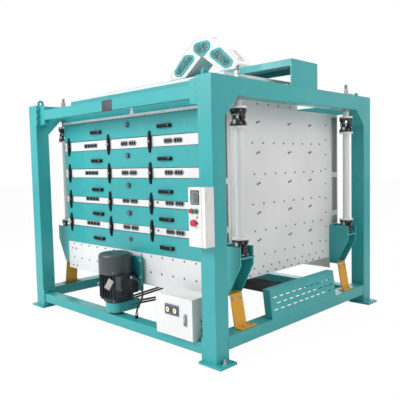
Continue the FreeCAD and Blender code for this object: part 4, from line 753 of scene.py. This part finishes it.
REAR_FACE = 0.79
rear = bmesh.new()
for z, height in DECKS:
    middle = z + height / 2
    for x in (-0.48, 0.48):
        prism(rear, rounded(0.78, height - 0.03, 0.012), 0.003,
              turned((x, REAR_FACE, middle), BACKWARD), 0.001)
        for a, b in CORNERS:
            bolt(rear, (x + a * 0.365, REAR_FACE + 0.003, middle + b * (height / 2 - 0.032)),
                 BACKWARD, 0.0038, 1)
keep(rear, "rear_covers", "sieve", white, zinc)

# The lid and the feed chest: seams, clamps and the sleeves on the collars

LID, ROOF = 1.701, 1.918
SPOUTS, SPOUT_Y = (-0.064, 0.544), -0.075
lid = bmesh.new()
for x in (-0.62, 0.0, 0.62):
    for y in (0.195, 0.76):
        screw(lid, (x, y, LID), UP, 0.005, 1)
for k in range(13):
    for y, z in ((0.19, LID), (0.77, LID), (-0.69, ROOF), (0.145, ROOF)):
        screw(lid, (-0.9 + 0.15 * k, y, z), UP, 0.0045, 1)
for x in (-0.5, 0.24):
    prism(lid, rounded(0.36, 0.30, 0.02), 0.003, turned((x, -0.45, ROOF), UP), 0.001)
    for a, b in CORNERS:
        bolt(lid, (x + a * 0.16, -0.45 + b * 0.13, ROOF + 0.003), UP, 0.004, 1)
for x in SPOUTS:
    for way in range(4):
        band = about((x, SPOUT_Y, 1.936), math.tau * way / 4)
        slab(lid, (0.0962, -0.0985, -0.006), (0.0985, 0.0985, 0.006), 0.0008, 1, 2, band)
    slab(lid, (x + 0.097, -0.083, 1.929), (x + 0.113, -0.067, 1.943), 0.002, 1)
keep(lid, "lid_fittings", "sieve", white, zinc)

# The drive: motor cowl seam, plates, bolts, guard slots, cable

MOTOR_Y = -0.966
SEAM = ((0.1312, 0.458), (0.1318, 0.459), (0.1318, 0.466), (0.1312, 0.467))
motor = bmesh.new()
lathe(motor, SEAM, turned((0, MOTOR_Y, 0), UP), 64, 1)
for out in spokes(4, 0.5):
    screw(motor, Vector((0, MOTOR_Y, 0.475)) + out * 0.1308, out, 0.0045, 2)
    ear = Vector((0, MOTOR_Y, 0.262)) + out * 0.112
    lathe(motor, [(0, -0.012), (0.012, -0.012), (0.012, 0.012), (0.010, 0.014), (0, 0.014)],
          turned(ear, UP), 20)
    bolt(motor, ear - Vector((0, 0, 0.012)), DOWN, 0.0045, 2)
for k in range(12):
    slab(motor, (0.06, -0.003, 0.236), (0.100, 0.003, 0.242), 0.0015, 0, 2,
         about((0, MOTOR_Y, 0), math.tau * k / 12))
plate_way = Vector((0.50, -0.864, 0)).normalized()
plate_side = Vector((plate_way.y, -plate_way.x, 0))
plate_at = Vector((0, MOTOR_Y, 0.385))
prism(motor, rounded(0.046, 0.084, 0.004), 0.0015,
      turned(plate_at + plate_way * 0.1295, plate_way), 0.0004, 3)
for a, b in CORNERS:
    spot = plate_at + plate_way * 0.1308 + plate_side * a * 0.018 + Vector((0, 0, b * 0.036))
    screw(motor, spot, plate_way, 0.0022, 2)
for side in (-1, 1):
    for z in (0.320, 0.400):
        bolt(motor, (side * 0.105, -0.842, z), FORWARD, 0.0065, 2)
EYE_AT, EYE_RADIUS = Vector((-0.0905, -1.0565, 0.360)), 0.016
across = Vector((1, 1, 0)).normalized()
eye = [EYE_AT + EYE_RADIUS * (across * out.x + Vector((0, 0, out.y))) for out in spokes(24)]
for start, end in zip(eye, eye[1:] + eye[:1]):
    tube(motor, [start, end], 0.0044, 10, index=2)
keep(motor, "motor_fittings", "sieve", motor_grey, cowl_grey, zinc, bare_plate)

COVER_AT = Vector((0.188, -1.006, 0.400))
box_fit = bmesh.new()
prism(box_fit, rounded(0.092, 0.100, 0.008), 0.003, turned(COVER_AT, RIGHT), 0.001)
for a, b in CORNERS:
    screw(box_fit, COVER_AT + Vector((0.0005, a * 0.044, b * 0.047)), RIGHT, 0.0035, 1)
keep(box_fit, "terminal_lid", "sieve", motor_grey, zinc)

mount_bolts = bmesh.new()
for side in (-1, 1):
    for z in (0.335, 0.405, 0.54):
        bolt(mount_bolts, (side * 0.145, -0.834, z), FORWARD, 0.0065)
keep(mount_bolts, "motor_plate_bolts", "sieve", zinc)

guard = bmesh.new()
# Painted shade: the guard's slots are black pads standing in for the dark behind open slots.
for k in range(4):
    prism(guard, rounded(0.02, 0.006, 0.0028), 0.0012,
          turned((0.085, -0.86 + k * 0.03, 0.188), RIGHT, math.pi / 2), 0.0003, 1)
for side in (-1, 1):
    for z in (0.25, 0.31):
        bolt(guard, (side * 0.032, -0.842, z), FORWARD, 0.004, 2)
    tube(guard, [(side * 0.0845, MOTOR_Y, 0.225), (side * 0.0845, -0.76, 0.225)], 0.0025, 6)
keep(guard, "guard_fittings", "sieve", teal_sheet, black_plastic, zinc)

ROUTE = ((194, -975, 440), (232, -975, 440), (270, -974, 437), (303, -973, 419), (327, -972, 389),
         (337, -971, 352), (332, -970, 314), (316, -969, 280), (294, -968, 249), (270, -967, 219),
         (256, -966, 193), (250, -966, 168), (250, -966, 140))
line = bpy.data.curves.new("motor_lead", "CURVE")
line.dimensions = "3D"
spline = line.splines.new("NURBS")
spline.points.add(len(ROUTE) - 1)
for point, (x, y, z) in zip(spline.points, ROUTE):
    point.co = (x / 1000, y / 1000, z / 1000, 1)
spline.order_u = 3
spline.use_endpoint_u = True
spline.resolution_u = 12
line.bevel_depth = 0.007
line.bevel_resolution = 4
line.use_fill_caps = True
line.materials.append(rubber)
lead = placed("motor_lead", line)
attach(lead, "frame")
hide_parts("motor_cable")

glands = bmesh.new()
lathe(glands, [(0.0075, 0), (0.0135, 0), (0.0135, 0.006), (0.0115, 0.008), (0.0115, 0.014),
               (0.0095, 0.018), (0.0075, 0.018)], turned((0.250, -0.966, 0.1555), UP), 24)
box_collar = bmesh.new()
lathe(box_collar, [(0.0075, 0), (0.012, 0), (0.0105, 0.010), (0.0075, 0.012)],
      turned((0.2122, -0.975, 0.440), RIGHT), 24)
gland_nuts = bmesh.new()
for z in (0.191, 0.251):
    lathe(gland_nuts, [(0, 0), (0.0125, 0), (0.0125, 0.010), (0.009, 0.014), (0, 0.014)],
          turned((0.982, -0.9725, z), RIGHT), 20)
keep(glands, "lead_collar", "frame", zinc)
keep(box_collar, "terminal_collar", "sieve", zinc)
keep(gland_nuts, "gland_caps", "frame", zinc)

INSIDE = 0.985
SHEAVE, PULLEY = 0.2088 * INSIDE, 0.0508 * INSIDE
belts = bmesh.new()
for low in (0.178, 0.198):
    for k in range(5):
        z = low + 0.0022 + 0.0021 * k
        for side in (-1, 1):
            tube(belts, [(side * SHEAVE, 0.034, z), (side * PULLEY, -0.958, z)], 0.0009, 4)
keep(belts, "belt_ribs", "sieve", rubber)

SHEAVE_TOP = Vector((0, 0, 0.2155))
wheel = bmesh.new()
for out in spokes(8):
    bolt(wheel, SHEAVE_TOP + out * 0.06, UP, 0.005, 1)
    lathe(wheel, [(0.028, 0), (0.030, 0.001), (0.030, 0.003), (0.028, 0.004)],
          turned(SHEAVE_TOP + out * 0.135, UP), 24)
for x in (-0.18, -0.09, 0.0, 0.09, 0.18):
    bolt(wheel, (x, -0.20, 0.3905), UP, 0.008, 1)
keep(wheel, "flywheel_bolts", "flywheel", cast_grey, zinc)

housing = bmesh.new()
for out in spokes(6):
    bolt(housing, out * 0.05 + Vector((0, 0, 0.324)), UP, 0.005)
    bolt(housing, out * 0.05 + Vector((0, 0, 0.2658)), DOWN, 0.005)
for side in (-1, 1):
    for y in (-0.07, 0.07):
        for z in (0.33, 0.42):
            bolt(housing, (side * 0.5, y, z), (side, 0, 0), 0.006)
keep(housing, "drive_bolts", "sieve", zinc)

# Brackets: bolts of the ties and of the hanger brackets' plates

ties, brackets = bmesh.new(), bmesh.new()
for side, end in CORNERS:
    x, y = side * HANGER_X, end * HANGER_Y
    for step in (-0.036, 0.036):
        bolt(ties, (side * 1.0438, y + step, 0.372), (side * 0.984, 0, 0.178), 0.006)
    for step in (0.0, 0.085):
        bolt(ties, (side * 1.106, y - end * step, 0.1815), UP, 0.006)
    for step in (-0.072, 0.072):
        wall, inner = side * (WALL + 0.0005), y + step * 0.85
        weld(brackets, [(wall, y + step, 0.41), (wall, y + step, 0.73)])
        weld(brackets, [(side * 0.972, inner, 0.664), (side * 1.14, inner, 0.664)])
    for spot in (-0.04, 0.04):
        for z in (0.47, 0.56, 0.70):
            bolt(brackets, (side * 0.97, y + spot, z), (side, 0, 0), 0.006, 1)
    for a, b in CORNERS:
        bolt(brackets, (x + a * 0.033, y + b * 0.033, 0.676), UP, 0.0045, 1)
keep(ties, "tie_bolts", "sieve", zinc)
keep(brackets, "bracket_fittings", "sieve", teal, zinc)

# Gantry and distributor: bolts, seams, covers and window rims

GANTRY_FOOT = 1.8605
bridge = bmesh.new()
for side in (-1, 1):
    for y in (-0.14, 0.0, 0.14):
        bolt(bridge, (side * 1.075, y, GANTRY_FOOT), UP, 0.007, 1)
    rim = side * 1.1295
    weld(bridge, [(rim, -0.174, GANTRY_FOOT), (rim, 0.174, GANTRY_FOOT)])
for x in SPOUTS:
    for way in range(4):
        edge = about((x, SPOUT_Y, 2.0335), math.tau * way / 4)
        slab(bridge, (0.0625, -0.084, -0.0015), (0.084, 0.0625, 0.0015), 0.0005, 0, 2, edge)
        bolt(bridge, edge @ Vector((0.0735, 0, -0.0015)), DOWN, 0.0035, 1)
keep(bridge, "gantry_fittings", "frame", teal_sheet, zinc)

CENTRE_X, BASE = 0.240, 2.045
SEAM_LINE = ((-0.390, 0.0), (-0.390, 0.040), (-0.204, 0.224), (-0.080, 0.296), (-0.068, 0.303),
             (0.068, 0.303), (0.080, 0.296), (0.204, 0.224), (0.390, 0.040), (0.390, 0.0),
             (0.218, 0.0), (0.0, 0.160), (-0.218, 0.0))
duct = bmesh.new()
for y in (-0.1755, 0.0255):
    ring = [(CENTRE_X + a, y, BASE + b) for a, b in SEAM_LINE]
    tube(duct, [*ring, ring[0]], 0.0032, 6)
high, low = SEAM_LINE[7:9]
slope = Vector((high[0] - low[0], 0, high[1] - low[1])).normalized()
for side in (-1, 1):
    along = Vector((side * slope.x, 0, slope.z))
    out = Vector((side * slope.z, 0, -slope.x))
    turn = Matrix((along, out.cross(along), out)).transposed().to_4x4()
    spot = Vector((CENTRE_X + side * 0.297, SPOUT_Y, BASE + 0.132)) + out * 0.0002
    place = Matrix.Translation(spot) @ turn
    prism(duct, rounded(0.150, 0.090, 0.016), 0.004, place, 0.001)
    prism(duct, rounded(0.124, 0.064, 0.010), 0.0055, place, 0.001, 1)
    for a, b in CORNERS:
        screw(duct, place @ Vector((a * 0.066, b * 0.037, 0.004)), out, 0.004, 2)
    foot = CENTRE_X + side * 0.304
    for low, bolts in ((-0.190, -0.1825), (0.024, 0.032)):
        slab(duct, (foot - 0.092, low, BASE + 0.0005), (foot + 0.092, low + 0.016, BASE + 0.0065),
             0.001)
        for a in (-0.07, 0.0, 0.07):
            bolt(duct, (foot + a, bolts, BASE + 0.0065), UP, 0.0035, 2)
lathe(duct, [(0.0585, 0), (0.0705, 0), (0.0705, 0.004), (0.0625, 0.006), (0.0605, 0.0098),
             (0.0585, 0.0098)], turned((CENTRE_X, SPOUT_Y, 2.3482), UP), 48)
keep(duct, "duct_fittings", "frame", white, bare_plate, zinc)

flap = bmesh.new()
slab(flap, (CENTRE_X - 0.004, -0.172, 2.205), (CENTRE_X + 0.004, 0.02, 2.33), 0.001)
keep(flap, "divider_flap", "frame", white)


def swollen(core, radius, steps=6):
    """The outline at a distance round a convex outline that runs anticlockwise."""
    found = []
    for k, (x, y) in enumerate(core):
        before, after = core[k - 1], core[(k + 1) % len(core)]
        start = math.atan2(x - before[0], before[1] - y)
        sweep = (math.atan2(after[0] - x, y - after[1]) - start) % math.tau
        for step in range(steps + 1):
            turn = start + sweep * step / steps
            found.append((x + radius * math.cos(turn), y + radius * math.sin(turn)))
    return found

CROWN = ((0.0, 0.197), (0.052, 0.231), (-0.052, 0.231))
ARM = ((0.265, 0.052), (0.306, 0.059), (0.195, 0.161), (0.128, 0.153))
rims = bmesh.new()
for core, radius in ((CROWN, 0.026), (ARM, 0.014), ([(-x, z) for x, z in ARM[::-1]], 0.014)):
    for grow in (0.003, 0.0165):
        ring = [(CENTRE_X + x, -0.1808, BASE + z) for x, z in swollen(core, radius + grow)]
        tube(rims, [*ring, ring[0]], 0.0032, 6)
    for x, z in swollen(core, radius + 0.0098, 1):
        screw(rims, (CENTRE_X + x, -0.181, BASE + z), FORWARD, 0.0028, 1)
keep(rims, "window_rims", "frame", teal_rubber, zinc, smooth=60)

# Step plate: folded lips round the slots' sheet

step = bmesh.new()
for y in (-0.448, 0.426):
    tube(step, [(1.1445, y, 0.175), (1.119, y, 0.383)], 0.0025, 6)
tube(step, [(1.119, -0.449, 0.3825), (1.119, 0.427, 0.3825)], 0.0028, 8)
for y in (-0.39, -0.12, 0.13, 0.38):
    bolt(step, (1.10, y, 0.1775), UP, 0.005, 1)
keep(step, "step_fittings", "frame", teal_sheet, zinc)

# Control box: door seam, breaker and its clear cover, rings and shrouds of the buttons

FRONT, BREAKER_X, BREAKER_Z = -1.120, 1.062, 1.088
control = bmesh.new()
slab(control, (1.116, FRONT - 0.0004, 0.780), (1.1175, FRONT + 0.001, 1.148), 0, 4)
ring = [Vector((BREAKER_X + a, FRONT - 0.0012, BREAKER_Z + b))
        for a, b in rounded(0.072, 0.086, 0.004)]
tube(control, [*ring, ring[0]], 0.0022, 6, index=1)
slab(control, (1.0295, -1.0965, 1.0485), (1.0945, -1.0905, 1.1275), 0.001, 6)
for left in (1.036, 1.074):
    slab(control, (left, -1.1035, 1.064), (left + 0.014, -1.0955, 1.112), 0.0012, 5)
for x, z, radius in ((1.034, 1.003, 0.0175), (1.074, 1.003, 0.0175), (1.055, 0.929, 0.0225)):
    lathe(control, [(0.0113, 0), (radius, 0), (radius, 0.0012), (radius - 0.0015, 0.0024),
                    (0.0128, 0.0024), (0.0113, 0.0016)], turned((x, FRONT, z), FORWARD), 36, 3)
for x, z, radius in ((1.079, 0.966, 0.004), (1.082, 0.929, 0.0045)):
    lathe(control, [(0, 0), (radius + 0.003, 0), (radius + 0.003, 0.002), (radius, 0.004),
                    (0, 0.0045)], turned((x, FRONT, z), FORWARD), 20, 2)
for z in (0.815, 1.065):
    lathe(control, [(0, 0), (0.004, 0), (0.004, 0.05), (0, 0.05)],
          turned((1.1505, FRONT + 0.012, z), UP), 16)
keep(control, "control_fittings", "frame", white_box, black_plastic, red_plastic, zinc,
     rubber, lever_black, panel_dark)

cover = bmesh.new()
prism(cover, rounded(0.068, 0.082, 0.004), 0.002,
      turned((BREAKER_X, FRONT - 0.001, BREAKER_Z), FORWARD), 0.0006)
keep(cover, "breaker_cover", "frame", pane)

# Cabinet: folded seams, gauges, lock plate and the gear inside

DOOR_FACE, METER_Z = -1.065, 0.314
meters = bmesh.new()
prism(meters, rounded(0.134, 0.074, 0.004), 0.0035, turned((0.764, DOOR_FACE, METER_Z), FORWARD), 0.001)
for x in (0.729, 0.799):
    place = turned((x, DOOR_FACE - 0.008, METER_Z), FORWARD)
    lathe(meters, [(0.024, -0.001), (0.026, 0.0), (0.026, 0.004), (0.0235, 0.006),
                   (0.0215, 0.005), (0.0215, 0.002)], place, 40, 1)
    lathe(meters, [(0.0216, 0.0015), (0, 0.0015)], place, 40, 2)
    for k in range(9):
        tick = place @ Matrix.Rotation(math.radians(30 * k - 120), 4, "Z")
        slab(meters, (-0.0005, 0.0158, 0.0015), (0.0005, 0.0202, 0.0021), 0, 1, 2, tick)
    hand = place @ Matrix.Rotation(0.8, 4, "Z")
    slab(meters, (-0.0007, -0.002, 0.002), (0.0007, 0.016, 0.0027), 0, 3, 2, hand)
    lathe(meters, [(0.003, 0.0015), (0.003, 0.0035), (0, 0.004)], place, 16, 1)
keep(meters, "gauge_faces", "door", panel_grey, black_plastic, dial_white, red_plastic)

door = bmesh.new()
ring = [(0.6065, 0.1372), (0.9525, 0.1372), (0.9525, 0.4048), (0.6065, 0.4048)]
ring = [(x, -1.0502, z) for x, z in ring]
tube(door, [*ring, ring[0]], 0.0013, 6)
prism(door, rounded(0.026, 0.086, 0.006), 0.0028, turned((0.896, DOOR_FACE, 0.265), FORWARD), 0.0008, 1)
keep(door, "door_fittings", "door", rubber, zinc)

lock = bmesh.new()
place = turned((0.896, -1.0773, 0.265), FORWARD)
prism(lock, rounded(0.0145, 0.070, 0.005), 0.0035, place, 0.001)
lathe(lock, [(0, 0.0035), (0.0052, 0.0035), (0.0052, 0.0045), (0.002, 0.0045), (0, 0.0035)],
      place @ Matrix.Translation((0, -0.022, 0)), 20, 1)
keep(lock, "lock_face", "lock", bare_plate, black_plastic)

gear = bmesh.new()
for k in range(3):
    x = 0.660 + 0.08 * k
    slab(gear, (x + 0.002, -0.9585, 0.263), (x + 0.048, -0.956, 0.339), 0.001)
    for step in range(3):
        for z in (0.268, 0.334):
            screw(gear, (x + 0.011 + 0.014 * step, -0.9585, z), FORWARD, 0.0035, 1)
    slab(gear, (x + 0.016, -0.9635, 0.290), (x + 0.034, -0.958, 0.312), 0.0015, 2)
for k in range(10):
    screw(gear, (0.671 + 0.0215 * k, -0.917, 0.201), FORWARD, 0.004, 1)
keep(gear, "gear_fittings", "frame", gear_white, zinc, black_plastic)

# Stage: floor, world and lamps

REACH = 30
floor_mesh = bmesh.new()
floor_mesh.faces.new([floor_mesh.verts.new((x * REACH, y * REACH, 0))
                      for x, y in ((-1, -1), (1, -1), (1, 1), (-1, 1))])
floor_data = bpy.data.meshes.new("floor")
floor_mesh.to_mesh(floor_data)
floor_mesh.free()
placed("floor", floor_data)


class Backdrop(Graph):
    """Shows one shader to the rays that a factor picks, and another one to the others."""

    def __init__(self, owner):
        super().__init__(owner)
        self.tree.nodes.clear()
        self.rays = self.add("ShaderNodeLightPath").outputs

    def maths(self, operation, first, second):
        made = self.add("ShaderNodeMath", operation=operation)
        self.link(first, made.inputs[0])
        if isinstance(second, float):
            made.inputs[1].default_value = second
        else:
            self.link(second, made.inputs[1])
        return made.outputs[0]

    def split(self, output, factor, plain, bright):
        blend = self.add("ShaderNodeMixShader")
        for k, source in enumerate((factor, plain.outputs[0], bright.outputs[0])):
            self.link(source, blend.inputs[k])
        self.link(blend.outputs[0], self.add(output).inputs["Surface"])


FLOOR_SEEN = 0.97
floor_white = bpy.data.materials.new("floor_white")
look = Backdrop(floor_white)
look.split("ShaderNodeOutputMaterial", look.maths("MULTIPLY", look.rays["Is Camera Ray"], FLOOR_SEEN),
           look.add("ShaderNodeBsdfDiffuse", in_Color=(0.92, 0.92, 0.92, 1)),
           look.add("ShaderNodeEmission", in_Strength=1.0))
floor_data.materials.append(floor_white)

world = bpy.data.worlds.new("studio")
bpy.context.scene.world = world
look = Backdrop(world)
either = look.maths("MAXIMUM", look.rays["Is Camera Ray"], look.rays["Is Glossy Ray"])
look.split("ShaderNodeOutputWorld", look.maths("MAXIMUM", either, look.rays["Is Transmission Ray"]),
           look.add("ShaderNodeBackground", in_Color=(0.96, 0.98, 1.0, 1), in_Strength=0.34),
           look.add("ShaderNodeBackground", in_Color=(1, 1, 1, 1), in_Strength=1.0))


def lamp(name, at, aim, size, power, colour):
    data = bpy.data.lights.new(name, "AREA")
    data.shape = "RECTANGLE"
    data.size, data.size_y = size
    data.energy = power
    data.color = colour
    made = placed(name, data)
    made.location = at
    made.rotation_euler = (Vector(aim) - Vector(at)).to_track_quat("-Z", "Y").to_euler()


lamp("key", (-1.5, -6.0, 4.2), (0, -1, 1.0), (4, 3), 385, (0.97, 0.99, 1.0))
lamp("side", (4.4, 0.3, 4.4), (1, 0, 1.5), (2.5, 2.5), 95, (1.0, 0.99, 0.98))
lamp("top", (0.5, 0.5, 6.5), (0, 0, 1.5), (5, 5), 170, (1.0, 1.0, 1.0))
lamp("back", (-4.0, 5.5, 3.6), (0, 0, 1.0), (4, 3), 130, (1.0, 1.0, 1.0))

bpy.context.scene.view_settings.view_transform = "Standard"
